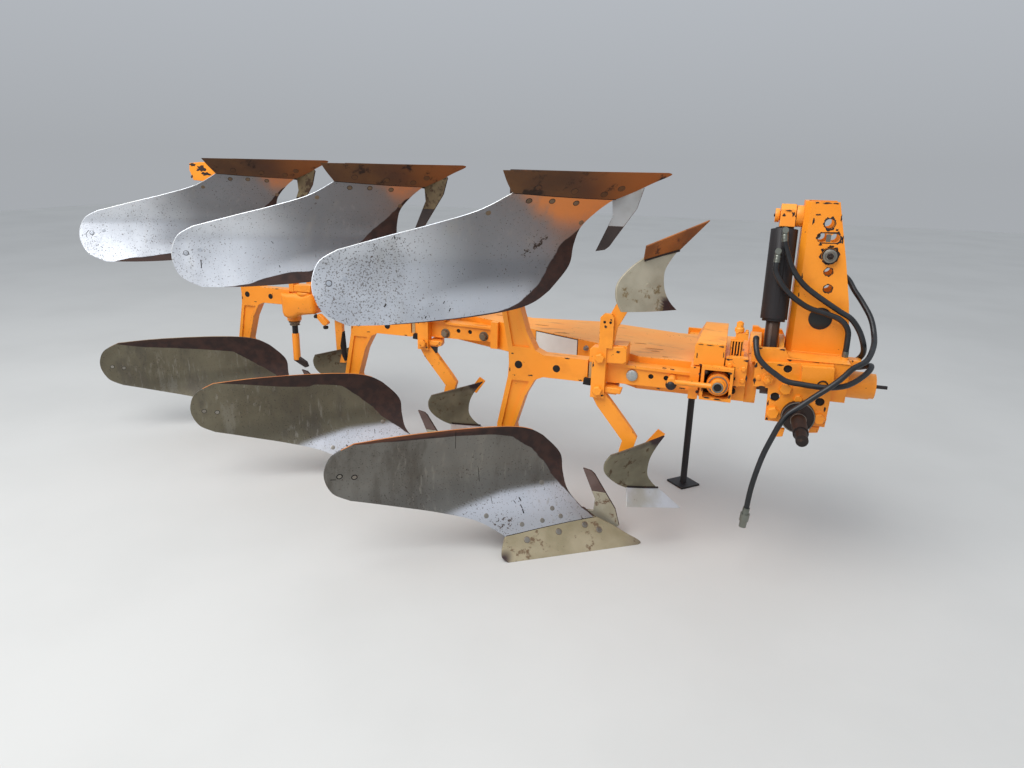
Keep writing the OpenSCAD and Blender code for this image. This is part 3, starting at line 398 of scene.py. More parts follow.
def slab(outline, low, high, plane="xz", **at):
    """A flat plate with an outline in a plane, between two places on the third axis, in millimetres."""
    order = {"xz": (0, 2, 1), "yz": (1, 2, 0), "xy": (0, 1, 2)}[plane]
    points = []
    for level in (low, high):
        for a, b in outline:
            spot = [0, 0, 0]
            spot[order[0]], spot[order[1]], spot[order[2]] = a, b, level
            points.append(tip(*spot, **at))
    return points, flip(skin(2, len(outline)))


def rectangle(x0, z0, x1, z1):
    return [(x0, z0), (x1, z0), (x1, z1), (x0, z1)]


def swept(path, radius, sides=10, closed=False):
    """A round rod along a list of points in the part's frame; radius in millimetres, one or a list."""
    path = [Vector(p) for p in path]
    n = len(path)
    radii = radius if isinstance(radius, list) else [radius] * n
    points, across = [], None
    for k in range(n):
        along = path[(k + 1) % n if closed else min(k + 1, n - 1)] - path[k - 1 if closed or k else 0]
        along.normalize()
        across = along.orthogonal() if across is None else across - along * across.dot(along)
        across.normalize()
        other = along.cross(across)
        for s in range(sides):
            a = 2 * math.pi * s / sides
            points.append(path[k] + (across * math.cos(a) + other * math.sin(a)) * radii[k] / 1000)
    return points, skin(n, sides, closed)


def ring(centre, radius, thick, axis=NEAR, sides=28):
    """A round wire bent to a ring."""
    axis = Vector(axis).normalized()
    across = axis.orthogonal().normalized()
    other = axis.cross(across)
    path = [centre + (across * math.cos(2 * math.pi * k / sides) + other * math.sin(2 * math.pi * k / sides))
            * radius / 1000 for k in range(sides)]
    return swept(path, thick, sides=8, closed=True)


def curve_at(points, t):
    """Point on a smooth curve through a short list of points, t from 0 to 1."""
    s = min(t, 0.999999) * (len(points) - 1)
    i, last = int(s), len(points) - 1
    f = s - i
    a, b, c, d = [points[max(0, min(last, k))] for k in (i - 1, i, i + 1, i + 2)]
    return [0.5 * (2 * b[k] + (c[k] - a[k]) * f + (2 * a[k] - 5 * b[k] + 4 * c[k] - d[k]) * f * f
                   + (3 * b[k] - a[k] - 3 * c[k] + d[k]) * f ** 3) for k in range(len(b))]


# Hoses
HOSE_D = 0.018
HOSES = {
    "hose_upper": ([(360, 37.6, 1150.2), (362, 33, 1131), (370, 31, 1108), (378, 31, 1088), (390, 31, 1058),
                    (407, 32, 1031), (433, 34, 1001), (460, 36, 979), (500, 38, 953), (555, 38, 920),
                    (590, 36, 900), (618, 34, 865), (636, 34, 825), (645, 60, 790), (640, 90, 762),
                    (624, 104, 745), (608.4, 104, 745)], "object", []),
    "hose_lower": ([(346, 23.7, 1085.8), (345, 19, 1066), (345, 16, 1041), (356, 14, 1017), (376, 14, 989),
                    (401, 16, 965), (430, 20, 944), (465, 26, 925), (515, 28, 912), (560, 28, 895),
                    (584, 27, 865), (588, 26, 825), (588, 26, 778.5)], "object", []),
    "hose_supply": ([(540, 178.6, 1035), (540, 189, 1035), (556, 198, 1024), (585, 190, 1000),
                     (605, 170, 970), (632, 150, 935), (660, 120, 890), (672, 90, 845), (668, 40, 815),
                     (645, -25, 785), (603, -66, 765), (575, -92, 740), (540, -110, 710), (505, -116, 680),
                     (465, -124, 645), (430, -132, 615), (410, -138, 580), (395, -142, 540),
                     (375, -146, 480), (360, -150, 415), (350, -150, 350), (345, -150, 285)], "connector",
                     ["hose_coupler"]),
    "hose_loop": ([(312, -26, 812.4), (312, -26, 824), (311, -48, 826), (315, -68, 800), (325, -80, 775),
                   (350, -86, 750), (380, -88, 730), (415, -88, 710), (460, -88, 705), (515, -88, 702),
                   (560, -84, 705), (600, -64, 712), (640, -20, 728), (665, 15, 745), (672, 45, 752),
                   (660, 68, 743), (635, 76, 735), (608.5, 76, 735)], "object", []),
}
for name, (route, far_end, on_it) in HOSES.items():
    steps = 5 * (len(route) - 1)
    line = [tip(*curve_at(route, k / steps)) for k in range(steps + 1)]
    curve = bpy.data.curves.new("rubber_" + name, "CURVE")
    curve.dimensions = "3D"
    spline = curve.splines.new("POLY")
    spline.points.add(steps)
    for point, spot in zip(spline.points, line):
        point.co = (*spot, 1.0)
    curve.bevel_depth, curve.bevel_resolution, curve.use_fill_caps = HOSE_D / 2, 5, True
    curve.materials.append(BLACK_HOSE)
    made = bpy.data.objects.new("rubber_" + name, curve)
    bpy.context.scene.collection.objects.link(made)
    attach(made, "headstock")
    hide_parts(name)


# Curved plates
def level_curve(table, z):
    """Value at height z from a short table of (height, value)."""
    if z <= table[0][0]:
        return table[0][1]
    for (z0, v0), (z1, v1) in zip(table, table[1:]):
        if z <= z1:
            return v0 + (v1 - v0) * (z - z0) / (z1 - z0)
    return table[-1][1]


def inside(edges, u, v):
    """Point inside four edge curves: low, high, front and rear."""
    low, high, front, rear = edges
    a, b, c, d = curve_at(low, u), curve_at(high, u), curve_at(front, v), curve_at(rear, v)
    return [(1 - v) * a[k] + v * b[k] + (1 - u) * c[k] + u * d[k]
            - (1 - u) * (1 - v) * low[0][k] - u * (1 - v) * low[-1][k]
            - (1 - u) * v * high[0][k] - u * v * high[-1][k] for k in range(2)]


def plate_faces(nu, nv):
    """Faces of a plate with its near points first, row by row, and then its far ones."""
    w, m = nu + 1, (nu + 1) * (nv + 1)
    faces = []
    for v in range(nv):
        for u in range(nu):
            a = v * w + u
            faces += [(a, a + 1, a + w + 1, a + w), (m + a, m + a + w, m + a + w + 1, m + a + 1)]
    rim = list(range(w)) + [v * w + nu for v in range(1, nv + 1)]
    rim += [nv * w + u for u in range(nu - 1, -1, -1)] + [v * w for v in range(nv - 1, 0, -1)]
    return faces + [(a, m + a, m + b, b) for a, b in zip(rim, rim[1:] + rim[:1])]


def plate_grid(edges, place, nu, nv, thickness):
    """A curved plate; place(x, z, depth) is in a body's own millimetres and thickness(v) its depth."""
    flat = [inside(edges, u / nu, v / nv) for v in range(nv + 1) for u in range(nu + 1)]
    depth = [thickness(v / nv) for v in range(nv + 1) for _ in range(nu + 1)]
    points = [place(x, z, 0) for x, z in flat] + [place(x, z, d) for (x, z), d in zip(flat, depth)]
    return flat + flat, points, plate_faces(nu, nv)


def half(upper):
    return "upper" if upper else "lower"


def smooth_step(x):
    x = max(0.0, min(1.0, x))
    return x * x * (3 - 2 * x)


# Mouldboards and shares
BOARD_ROOT = -300


def near(x, z, x0, z0, reach):
    """1 at a spot on a board, falling to 0 at its reach."""
    return max(0.0, 1 - math.hypot(x - x0, z - z0) / reach)


def side_at(z):
    """How far to the side a board's near face is at height z, where x is BOARD_ROOT."""
    return 30 - 237 * max(0.0, 1 - z / 300) ** 1.6 if z < 300 else 30 - 25 * ((z - 300) / 170) ** 2


def slope_at(z):
    """How much a board's near face goes sideways for each millimetre ahead."""
    return 0.68 + 0.20 * z / 470


def board_place(x, z, depth):
    a = math.atan(slope_at(z))
    y = side_at(z) + slope_at(z) * (x - BOARD_ROOT)
    return (x - depth * math.sin(a), y + depth * math.cos(a), z)


JOINT = (-180, 88)
BOARD_LOW = [JOINT, (-310, 81), (-446, 69.6), (-455, 69), (-461, 72.2), (-560, 125), (-684, 167),
             (-805, 203), (-931, 243)]
BOARD_TAIL = [(-931, 243), (-976, 275), (-990, 322), (-982, 375), (-950, 430), (-889, 468)]
BOARD_HIGH = [(-378, 397), (-415, 430), (-462, 450), (-545, 464), (-660, 472), (-780, 474), (-889, 468)]
BOARD_SHIN = [JOINT, (-232, 127), (-286, 182), (-312, 245), (-327, 318), (-378, 397)]
BOARD_EDGES = (BOARD_LOW, BOARD_HIGH, BOARD_SHIN, BOARD_TAIL)
# Where the brown paint begins on each board, as (height, place along the board)
PAINT = {(0, False): [(88, -183), (110, -211), (127, -236), (150, -261), (173, -285), (229, -341),
                      (349, -415), (413, -476), (434, -536), (448, -646), (456, -777), (463, -883),
                      (474, -960)],
         (0, True): [(88, -150), (150, -215), (182, -285), (238, -349), (307, -383), (374, -412),
                     (430, -458), (454, -504), (468, -620), (474, -800)],
         (1, False): [(88, -180), (120, -222), (145, -252), (239, -385), (333, -460), (409, -521),
                      (419, -690), (456, -826), (474, -900)],
         (1, True): [(90, -170), (104, -180), (139, -256), (219, -342), (264, -395), (320, -443), (423, -583),
                     (430, -663), (447, -724), (467, -768), (474, -860)],
         (2, False): [(88, -180), (120, -222), (150, -262), (221, -344), (298, -441), (376, -519),
                      (408, -656), (439, -829), (474, -930)],
         (2, True): [(104, -180), (139, -256), (219, -342), (264, -395), (320, -443), (420, -600),
                     (442, -689), (458, -824), (474, -878)]}
# How high the rust-tinted foot of the upper boards reaches, as (place along the board, height)
FOOT = [[(-448, 100), (-415, 150), (-346, 183), (-290, 192)],
        [(-400, 60), (-331, 108), (-290, 160), (-229, 160)]]


def board_marks(flat, i, upper):
    """For each point of a board: how brown, top strip, rust-tinted, lit by painted reflection, clumped and
    speckled it is.
    """
    marks = {"dark": [], "top": [], "foot": [], "painted_reflection": [], "clump": [], "fine": []}
    for x, z in flat:
        marks["dark"].append(max(0.0, min(1.0, 0.5 + (x - level_curve(PAINT[i, upper], z)) / 60)))
        marks["top"].append(smooth_step((z - 457) / 5) * smooth_step((-430 - x) / 60))
        if upper:
            edge = level_curve(FOOT[i > 0], x)
            marks["foot"].append((0.75 if i else 1.0) * smooth_step((edge + 55 - z) / 130)
                                 * smooth_step((x + (440 if i else 540)) / 200))
            off = math.hypot((x + 417) * 0.7 + (z - 236) * 0.7, ((x + 417) * 0.7 - (z - 236) * 0.7) * 0.35)
            marks["clump"].append(0.0 if i else max(0.0, 1 - off / 30))
            # Painted reflection on the upper boards: bright along the tail and in a band across the board,
            # darker near the share
            tail = smooth_step((-560 - x) / 260)
            low = smooth_step((z - 330) / 90) * smooth_step((-x - 380) / 80)
            marks["painted_reflection"].append(max(tail, 0.85 * low))
            fine = 0.55 + 0.45 * near(x, z, -880, 340, 140)
            marks["fine"].append(0.35 * marks["painted_reflection"][-1] if i else tail * fine)
        else:
            marks["foot"].append(0.0)
            marks["fine"].append(0.25)
            marks["clump"].append(0.6 * max(0.0, 1 - math.hypot(x + 472, z - 100) / 60))
            # Painted highlight on the lower boards: brightest just under a line across the board, fading
            # towards the share
            edge = 212 + 0.05 * (x + 400) if x > -500 else 207 + 0.30 * (x + 500)
            fade = 0.55 + 0.45 * smooth_step((z - 85) / 90)
            marks["painted_reflection"].append(fade * smooth_step((edge + 8 - z) / 26) * smooth_step((x + 720) / 130))
    return marks


for i, upper in STATIONS:
    flat, points, faces = plate_grid(BOARD_EDGES, board_place, 72, 40, lambda v: 8)
    look = BOARD_UPPER if upper else BOARD_BROWN if i else BOARD_LOWER
    made = piece(f"board_{i + 1}_{half(upper)}", [tip(*p, i, upper) for p in points], flip(faces, upper),
                 look, "frame", bevel=0.0012, attributes=board_marks(flat, i, upper))
    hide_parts(f"mouldboard_{i + 1}_{half(upper)}")

SHARE_HIGH = [(-173, 87.7), (-222, 86), (-268, 83.6), (-312, 80.6), (-360, 77), (-408, 72.6), (-455, 68.7)]
SHARE_TIP = [(-10, 0), (-1, 4), (-12, 12), (-58, 33), (-109, 59), (-173, 87.7)]
SHARE_EDGES = ([(-10, 0), (-150, 0), (-290, 0), (-426, 0)], SHARE_HIGH, SHARE_TIP,
               [(-426, 0), (-449, 15), (-455, 38), (-455, 68.7)])
SQUARE_EDGES = ([(-10, 0), (-150, 0), (-300, 0), (-462, 0)], SHARE_HIGH, SHARE_TIP,
                [(-462, 0), (-461, 34), (-455, 68.7)])

for i, upper in STATIONS:
    worn = i == 0 and not upper
    flat, points, faces = plate_grid(SHARE_EDGES if worn else SQUARE_EDGES, board_place, 60, 14,
                                     lambda v: 3 + 7 * v)
    marks = {"speck": [near(x, z, -392, 34, 90) + near(x, z, -165, 40, 60) if worn else 0.0 for x, z in flat],
             "mark": [min(1.0, 1.6 * near(x, z, -446, 4, 34)) + 0.5 * near(x, z, 0, 0, 70) if worn else
                      0.5 * near(x, z, -250, 40, 90) if upper else 0.0 for x, z in flat],
             "warm": [(0.45 if i else 0.75) * smooth_step((x + 300) / 220) if upper else 0.0 for x,
                      z in flat]}
    made = piece(f"blade_{i + 1}_{half(upper)}", [tip(*p, i, upper) for p in points], flip(faces, upper),
                 SHARE_UPPER if upper else SHARE_LOWER, "frame", bevel=0.0008, attributes=marks)
    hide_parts(f"share_{i + 1}_{half(upper)}")

# Countersunk heads on the boards and shares, as (x, z)
TAIL_BOLTS = [(-951, 342), (-915, 331)]
BOARD_BOLTS = {False: [(-412, 96), (-349, 99), (-292, 104), (-325, 130), (-531, 135), (-376, 216)],
               True: [(-418, 93), (-355, 94), (-289, 100), (-283, 166), (-535, 132)]}
SHARE_BOLTS = [(-384, 52), (-287, 62), (-205, 71), (-153, 52)]


def board_axis(x, z, upper):
    """Which way the near face of a board looks."""
    here = Vector(board_place(x, z, 0))
    axis = (Vector(board_place(x + 1, z, 0)) - here).cross(Vector(board_place(x, z + 1, 0)) - here)
    return Vector((axis.x, axis.y, -axis.z if upper else axis.z)) * (-1 if axis.y > 0 else 1)


def flush_heads(places, i, upper, radius, rise):
    return [turned([(radius, -2), (radius, rise * 0.6), (radius - 1, rise), (radius * 0.4, rise * 0.8)],
                   tip(*board_place(x, z, 0), i, upper), board_axis(x, z, upper)) for x, z in places]


def rims(places, i, upper, radius, thick):
    return [ring(tip(*board_place(x, z, 0), i, upper), radius, thick, board_axis(x, z, upper)) for x,
            z in places]


def along_board(line, i, upper, radius, depth=0.2):
    return swept([tip(*board_place(x, z, depth), i, upper) for x, z in line], radius, sides=8)


for i, upper in STATIONS:
    end = f"{i + 1}_{half(upper)}"
    group("board_bolts_" + end, flush_heads(BOARD_BOLTS[upper], i, upper, 9, 0.8),
          BOLT_BROWN if upper else BRIGHT_STEEL, "frame")
    group("share_bolts_" + end, flush_heads(SHARE_BOLTS, i, upper, 11, 0.8),
          SHARE_UPPER if upper else BRIGHT_STEEL, "frame")
    group("bolt_rims_" + end, rims(SHARE_BOLTS, i, upper, 11.5, 0.9)
          + (rims(BOARD_BOLTS[True][:3], i, upper, 9.5, 1.2) if upper else []),
          DARK_STEEL if upper else BOLT_BROWN, "frame")
    group("tail_bolts_" + end, flush_heads(TAIL_BOLTS, i, upper, 8, 0.5),
          BOARD_HEAD if upper else BRIGHT_STEEL, "frame")
    group("tail_rims_" + end, rims(TAIL_BOLTS[:1 if upper else 2], i, upper, 9, 1.0 if upper or i else 1.8),
          DARK_STEEL if upper else BLACK_DIRT_AND_SHADE, "frame")
    seam = [curve_at(SHARE_HIGH, k / 24) for k in range(25)]
    group("share_seam_" + end, [along_board([(x, z + 0.6) for x, z in seam], i, upper, 1.3, 0.6)], BLACK_DIRT_AND_SHADE,
          "frame")
    # On the upper boards the rod along the edge is a painted highlight; on the lower boards it is the edge's
    # orange or dusty paint
    if upper:
        rim = [curve_at(BOARD_LOW, 0.38 + 0.62 * k / 50) for k in range(51)]
        rim += [curve_at(BOARD_TAIL, 0.6 * k / 12) for k in range(1, 13)]
    else:
        rim = [curve_at(BOARD_HIGH, 0.15 + 0.85 * k / 50) for k in range(51)]
        rim += [curve_at(BOARD_TAIL, 1 - 0.12 * k / 4) for k in range(1, 5)]
    group("board_rim_paint_and_highlight_" + end, [along_board(rim, i, upper, 1.9, 2.5)],
          PAINTED_HIGHLIGHT_RIM if upper else BROWN_RIM if i == 2 else ORANGE_RIM, "frame")

# Scratches and dark spots: body, upper or lower, half width, and a line of (x, z)
SCRATCHES = [(0, False, 0.9, [(-577, 302), (-575, 275), (-571, 249)]),
             (0, False, 2.2, [(-440, 178), (-432, 166)]), (0, False, 1.8, [(-431, 155), (-422, 142)]),
             (0, False, 2.2, [(-421, 140), (-414, 127)]), (0, False, 1.2, [(-455, 170), (-446, 160)]),
             (0, False, 0.9, [(-529, 194), (-520, 169)]),
             (0, False, 1.0, [(-628, 464), (-633, 425), (-637, 393)]),
             (0, False, 1.4, [(-976, 333), (-962, 331)]), (0, True, 2.2, [(-812, 419), (-808, 412)]),
             (0, True, 1.6, [(-790, 203), (-789, 213)]), (0, True, 1.6, [(-647, 445), (-645, 436)]),
             (0, True, 1.6, [(-706, 462), (-704, 455)]), (0, True, 1.4, [(-665, 420), (-662, 413)]),
             (0, True, 1.4, [(-433, 399), (-431, 393)]),
             (1, True, 1.6, [(-909, 368), (-905, 384), (-903, 399)]),
             (1, True, 1.2, [(-712, 305), (-706, 314)]), (1, True, 1.4, [(-684, 398), (-680, 407)]),
             (1, False, 1.0, [(-400, 190), (-394, 172)]),
             (2, True, 1.2, [(-962, 330), (-970, 345), (-964, 362)])]
group("board_scratches", [along_board(line, i, upper, wide) for i, upper, wide, line in SCRATCHES],
      BLACK_DIRT_AND_SHADE, "frame")

# Knives and skimmers; SKIM_AHEAD is how far ahead of its place each station's skimmer stands
KNIFE_LOW = [(-89, 51), (-108, 116), (-148, 176), (-199, 176), (-186, 145), (-190, 96), (-250, 90),
             (-250, 30), (-110, 30)]
KNIFE_END = [(-149, 177), (-193, 245), (-207, 256), (-238, 262), (-199.5, 177)]
SKIM_AHEAD = [0, 28, 90]
SKIM_EDGES = ([(45, 234), (-5, 246), (-57, 261)], [(51, 438), (-25, 430), (-101, 420)],
              [(45, 234), (22, 268), (6, 308), (10, 362), (28, 405), (51, 438)],
              [(-57, 261), (-92, 290), (-124, 335), (-123, 380), (-101, 420)])
SKIM_ROOT = 40  # the place along where only its bulge moves a skimmer's near face sideways
SKIM_NOSE, SKIM_WING = (128, 52, 146), (-45, -150, 217)


def skim_slope_at(z):
    return 0.84 + 0.55 * max(0.0, (z - 323) / 110) ** 2


def skim_place(x, z, depth):
    side = -4 - 8 * (z - 234) / 204 - 13 * math.sin(math.pi * (z - 234) / 204)
    a = math.atan(skim_slope_at(z))
    y = side + skim_slope_at(z) * (x - SKIM_ROOT)
    return (x - depth * math.sin(a), y + depth * math.cos(a), z)


def skim_blade(nu=10, nv=6):
    """The flat share under a skimmer's board, a little crowned, with its thickness behind it."""
    a = math.atan(skim_slope_at(242))
    down = (-6 * math.sin(a), 6 * math.cos(a), -2)
    root = [skim_place(43, 242, 1), skim_place(-56, 269, 1)]
    front = []
    for v in range(nv + 1):
        for u in range(nu + 1):
            s, t = u / nu, v / nv
            spot = [(1 - t) * ((1 - s) * SKIM_NOSE[k] + s * SKIM_WING[k])
                    + t * ((1 - s) * root[0][k] + s * root[1][k]) for k in range(3)]
            spot[1] -= 2.5 * math.sin(math.pi * s) * math.sin(math.pi * t)
            front.append(spot)
    back = [[spot[k] + down[k] for k in range(3)] for spot in front]
    return front + back, plate_faces(nu, nv)


for i, upper in STATIONS:
    end = f"{i + 1}_{half(upper)}"
    dx = SKIM_AHEAD[i]
    group("knife_" + end, [slab(KNIFE_LOW, 17.4, 27.7, i=i, upper=upper)],
          (KNIFE_RUSTY if i else KNIFE_PALE) if upper else KNIFE, "frame", bevel=0.0008)
    group("knife_end_" + end, [slab(KNIFE_END, 17.4, 27.8, i=i, upper=upper)],
          KNIFE_DARK if upper else KNIFE_BROWN, "frame", bevel=0.0008)
    flat, points, faces = plate_grid(SKIM_EDGES, skim_place, 24, 20, lambda v: 8)
    marks = [smooth_step((x - 2) / 4) * smooth_step((z - 386) / 12) if upper else
             0.7 * smooth_step((x - 0.4 * (438 - z)) / 12) * smooth_step((z - 380) / 30)
             + 0.4 * smooth_step((z - 412) / 8) for x, z in flat]
    specks = [0.8 * smooth_step((z - 330) / 40) * (1 if upper else 0.4) for x, z in flat]
    made = piece("skim_board_" + end, [tip(x + dx, y, z, i, upper) for x, y, z in points], flip(faces, upper),
                 SKIM_PALE if upper and i == 0 else SKIM_BOARD, "frame", bevel=0.0008,
                 attributes={"mark": marks, "speck": specks})
    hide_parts("skimmer_" + end)
    points, faces = skim_blade()
    made = piece("skim_share_" + end, [tip(x + dx, y, z, i, upper) for x, y, z in points], flip(faces, upper),
                 SKIM_RUST if upper else SKIM_BLADE, "frame", bevel=0.0006)
    # A dark rod where each skimmer's board meets its share: painted shadow in the gap between them
    seam = [skim_place(x, z, 0) for x, z in ((43, 242), (-6, 254), (-56, 269))]
    group("skim_seam_painted_shadow_" + end, [swept([tip(x + dx, y - 1.5, z - 1, i, upper) for x, y, z in seam], 3.6,
                                     sides=8)],
          DARK_STEEL, "frame")
    a = math.atan(skim_slope_at(350))
    x, y, z = skim_place(-38, 350, 0)
    group("skim_bolt_" + end, [turned([(11, -2), (11, 0.5), (9, 1.0), (4, 0.6)], tip(x + dx, y, z, i, upper),
                                      (math.sin(a), -math.cos(a), 0), 20)],
          SKIM_PALE if upper and i == 0 else SKIM_BOARD, "frame")

# Small parts and marks; the near faces of what carries them, and the far hitch plate's outer face
ARM_FACE, STRIP_FACE = -62, -102.5
PLATE_FACE, PAD_FACE, TOWER_FACE = -52, -68, 70
FAR_PLATE_FACE = 2 * AXIS_SIDE - PLATE_FACE


def ragged(start, a, bays):
    """Noise along a ring at angle a: start picks the ring, and bays is its size in the noise."""
    return noise.noise(Vector((start, bays * math.cos(a), bays * math.sin(a))))


def patch(x, z, wide, high, reach):
    """An outline round a middle; reach(angle) is its share of wide and high at an angle."""
    angles = [2 * math.pi * k / 18 for k in range(18)]
    return [(x + wide * reach(a) * math.cos(a), z + high * reach(a) * math.sin(a)) for a in angles]


def flake(x, y, z, wide, high, seed, **at):
    """A patch of bare metal with a ragged outline, lying on a face that looks at -Y."""
    def reach(a):
        """Share of the width and height, from two rings of noise."""
        return 0.5 + 0.38 * ragged(seed * 3.1, a, 1.3) + 0.25 * ragged(seed * 5.7, a, 3)
    return slab(patch(x, z, wide, high, reach), y - 0.5, y + 0.5, **at)


def flakes(places, face, seed, **at):
    """Bare patches on one face, from a list of (x, z, wide, high)."""
    return [flake(x, face, z, wide, high, seed + k, **at) for k, (x, z, wide, high) in enumerate(places)]


def halo(x, y, z, rx, rz, spread, seed, thick=0.5, deep=0.4):
    """Bare metal around a hole: a flat ragged ring."""
    n, points = 40, []
    for level, outer in ((y - thick, False), (y - thick, True), (y + deep, True), (y + deep, False)):
        for k in range(n):
            a = 2 * math.pi * k / n
            rough = 0.55 + 0.9 * ragged(seed * 2.3, a, 2.2) + 0.5 * ragged(seed * 7.1, a, 6)
            r = rz + (spread * max(0.12, rough) if outer else 0.0)
            across = (rx - rz) * (1 if math.cos(a) > 0.02 else -1 if math.cos(a) < -0.02 else 0)
            points.append(tip(x + across + r * math.cos(a), level, z + r * math.sin(a)))
    return points, skin(4, n, closed=True)


# Bolts of the hitch plates: x, z, across flats, washer, end of the screw
PLATE_BOLTS = [(363, 701, 30, 44, 14), (419, 676, 36, 0, 0), (461, 645, 24, 0, 0), (390, 590, 36, 0, 0),
               (531, 588, 32, 46, 0)]
solids = []
for x, z, across, washer, stub in PLATE_BOLTS:
    solids += bolt(tip(x, PLATE_FACE, z), across, washer, stub, height=0.45)
    solids += bolt(tip(x, FAR_PLATE_FACE, z), across, washer, stub, axis=FAR, height=0.45)
solids.append(turned([(9, -1), (9, 3), (5, 5)], tip(334, PLATE_FACE, 702)))
group("hitch_bolts", solids, ORANGE_CAST, "headstock", bevel=0.0006)
group("hitch_ring", [ring(tip(525, PAD_FACE - 1.5, 702), 15, 2.2)], DARK_STEEL, "headstock")
PLATE_HOLES = [(391, 643), (527, 642), (418, 740)]
# Black discs a little inside the hitch plates' holes: painted shade in the holes
solids = [turned([(13.5, 0), (13.5, 3)], tip(x, PLATE_FACE + 8, z)) for x, z in PLATE_HOLES]
solids += [turned([(13.5, 0), (13.5, 3)], tip(x, FAR_PLATE_FACE - 8, z), FAR) for x, z in PLATE_HOLES]
group("hitch_hole_shade", solids, BLACK_DIRT_AND_SHADE, "headstock")
group("hitch_lugs", [slab([(510, 529), (536, 533), (540, 553), (514, 551)], -37, -20),
                     slab([(406, 500), (432, 505), (436, 532), (412, 530)], -37, -20)], ORANGE_CAST,
                     "headstock",
      bevel=0.0015)
group("hitch_pin_rings", [ring(tip(467, PLATE_FACE - 18.6, 588), 50, 1.6),
                          ring(tip(467, -102, 588), 23.4, 1.2), ring(tip(467, -245, 588), 16.5, 1.6)],
                          BRIGHT_STEEL, "headstock")

# Tower: worn edges round the holes, the pin's bolt and the blank badge
solids = [halo(489, TOWER_FACE, 1188, 15, 15, 8, 1), halo(492, TOWER_FACE, 1144, 33, 14.2, 8, 2),
          halo(502, TOWER_FACE, 1090, 24, 24, 7, 3), halo(506, TOWER_FACE, 1039, 13, 13, 3, 4),
          halo(512, TOWER_FACE, 985, 13, 13, 3, 5)]
solids += flakes([(462, 1150, 8, 14), (470, 1122, 12, 7), (505, 1118, 14, 8), (512, 1170, 10, 8),
                  (478, 1108, 9, 6), (521, 1105, 6, 8), (498, 1064, 14, 6), (440, 1196, 7, 18),
                  (452, 1214, 16, 6), (430, 1020, 4, 18), (428, 960, 4, 12), (444, 1250, 14, 4),
                  (470, 1250, 24, 4), (498, 1250, 14, 4), (519, 1205, 4, 20), (533, 1140, 4, 26)],
                  TOWER_FACE, 0)
solids += [halo(x, TOWER_FACE, z, r, r, 0.25, k, thick=-0.1, deep=11.9)
           for k, (x, z, r) in enumerate([(488, 1188, 14.4), (506, 1039, 12.2), (512, 985, 12.2)])]
group("tower_wear", solids, RUST_CHIP, "headstock")
group("slot_steel", [slab(rectangle(484, 1132, 498, 1156), 69.4, 71)], BRIGHT_STEEL, "headstock",
      bevel=0.0005)
group("pin_washer", [turned([(21, -1), (21, 2), (19, 3)], tip(502, 53.7, 1090), sides=32),
                     ring(tip(502, 51.5, 1090), 15, 1.8)], BRIGHT_STEEL, "headstock")
group("pin_bolt", bolt(tip(502, 51, 1090), 19, 0, 8, height=0.5), DARK_STEEL, "headstock", bevel=0.0005)
group("badge", [turned([(36, -0.5), (36, 1.2), (35, 1.8)], tip(503, TOWER_FACE, 887), sides=48)], BADGE_BLACK,
      "headstock")
group("badge_rim", [ring(tip(503, TOWER_FACE - 1.2, 887), 35, 0.9, sides=48)], BLACK_PAINT, "headstock")

# Cylinder: the screw in its upper pin and the chips on its end
CYLINDER_END_FACE = 88.6
group("cylinder_pin_screw", bolt(tip(339, AXIS_SIDE, 1204), 26, 0, 10, axis=BEHIND, height=0.4), DARK_STEEL,
      "headstock", bevel=0.0006)
group("cylinder_end_wear", flakes([
    (352, 1206, 9, 12), (372, 1186, 12, 9), (380, 1212, 7, 14), (356, 1178, 8, 8), (386, 1196, 6, 22),
    (346, 1188, 5, 18), (366, 1222, 16, 4), (366, 1172, 22, 4)], CYLINDER_END_FACE, 40), RUST_CHIP,
    "cylinder")

# Ferrules where the hoses start and end
FERRULE_LENGTH = 0.022


def ferrule(ends):
    """The sleeve over a hose's end, with rings pressed in, along the first three points of its route."""
    path, run = [tip(*ends[0])], 0.0
    for k in range(1, 13):
        spot = tip(*curve_at(ends, k / 12 * 0.9))
        run += (spot - path[-1]).length
        if run > FERRULE_LENGTH:
            break
        path.append(spot)
    radii = [10.3 if k % 3 else 9.8 for k in range(len(path))]
    return [swept(path, radii, sides=16)] if len(path) > 2 else []


solids = []
for route, far_end, on_it in HOSES.values():
    solids += ferrule(route[:3])
    if far_end != "connector":
        solids += ferrule(route[::-1][:3])
group("hose_ferrules", solids, GREY_FITTING, "headstock")

# Base of the tower: front tab, seams, the black band on the shaft's housing, and chips
BASE_FACE = -38
group("base_tabs", [slab([(601, 748), (640, 748), (644, 752), (644, 764), (640, 768), (601, 768)], 30, 76)],
      ORANGE_CAST, "headstock", bevel=0.002)
group("base_seams", [swept([tip(x, -38.5, 770.5) for x in range(412, 600, 8)], 2.2, sides=8),
                     swept([tip(x, 68.6, 771.5) for x in range(430, 594, 8)], 2.6, sides=8)], ORANGE_CAST,
      "headstock")
group("housing_band", [turned([(48, 0), (48, 16)], tip(567, AXIS_SIDE, AXIS_HEIGHT * 1000), AHEAD, 40)],
      BLACK_PAINT, "headstock")
solids = flakes([(322, 742, 8, 18), (322, 690, 8, 24), (345, 672, 20, 6), (340, 735, 7, 7), (392, 750, 22, 5),
                 (372, 618, 5, 20), (440, 566, 26, 6), (545, 620, 6, 18), (548, 700, 6, 20),
                 (480, 742, 10, 6), (375, 566, 8, 10)], PLATE_FACE, 60)
solids += flakes([(314, 800, 8, 12), (330, 796, 12, 5), (395, 798, 16, 5), (420, 766, 12, 6),
                  (500, 768, 18, 4)], BASE_FACE, 75)
group("base_wear", solids, RUST_CHIP, "headstock")

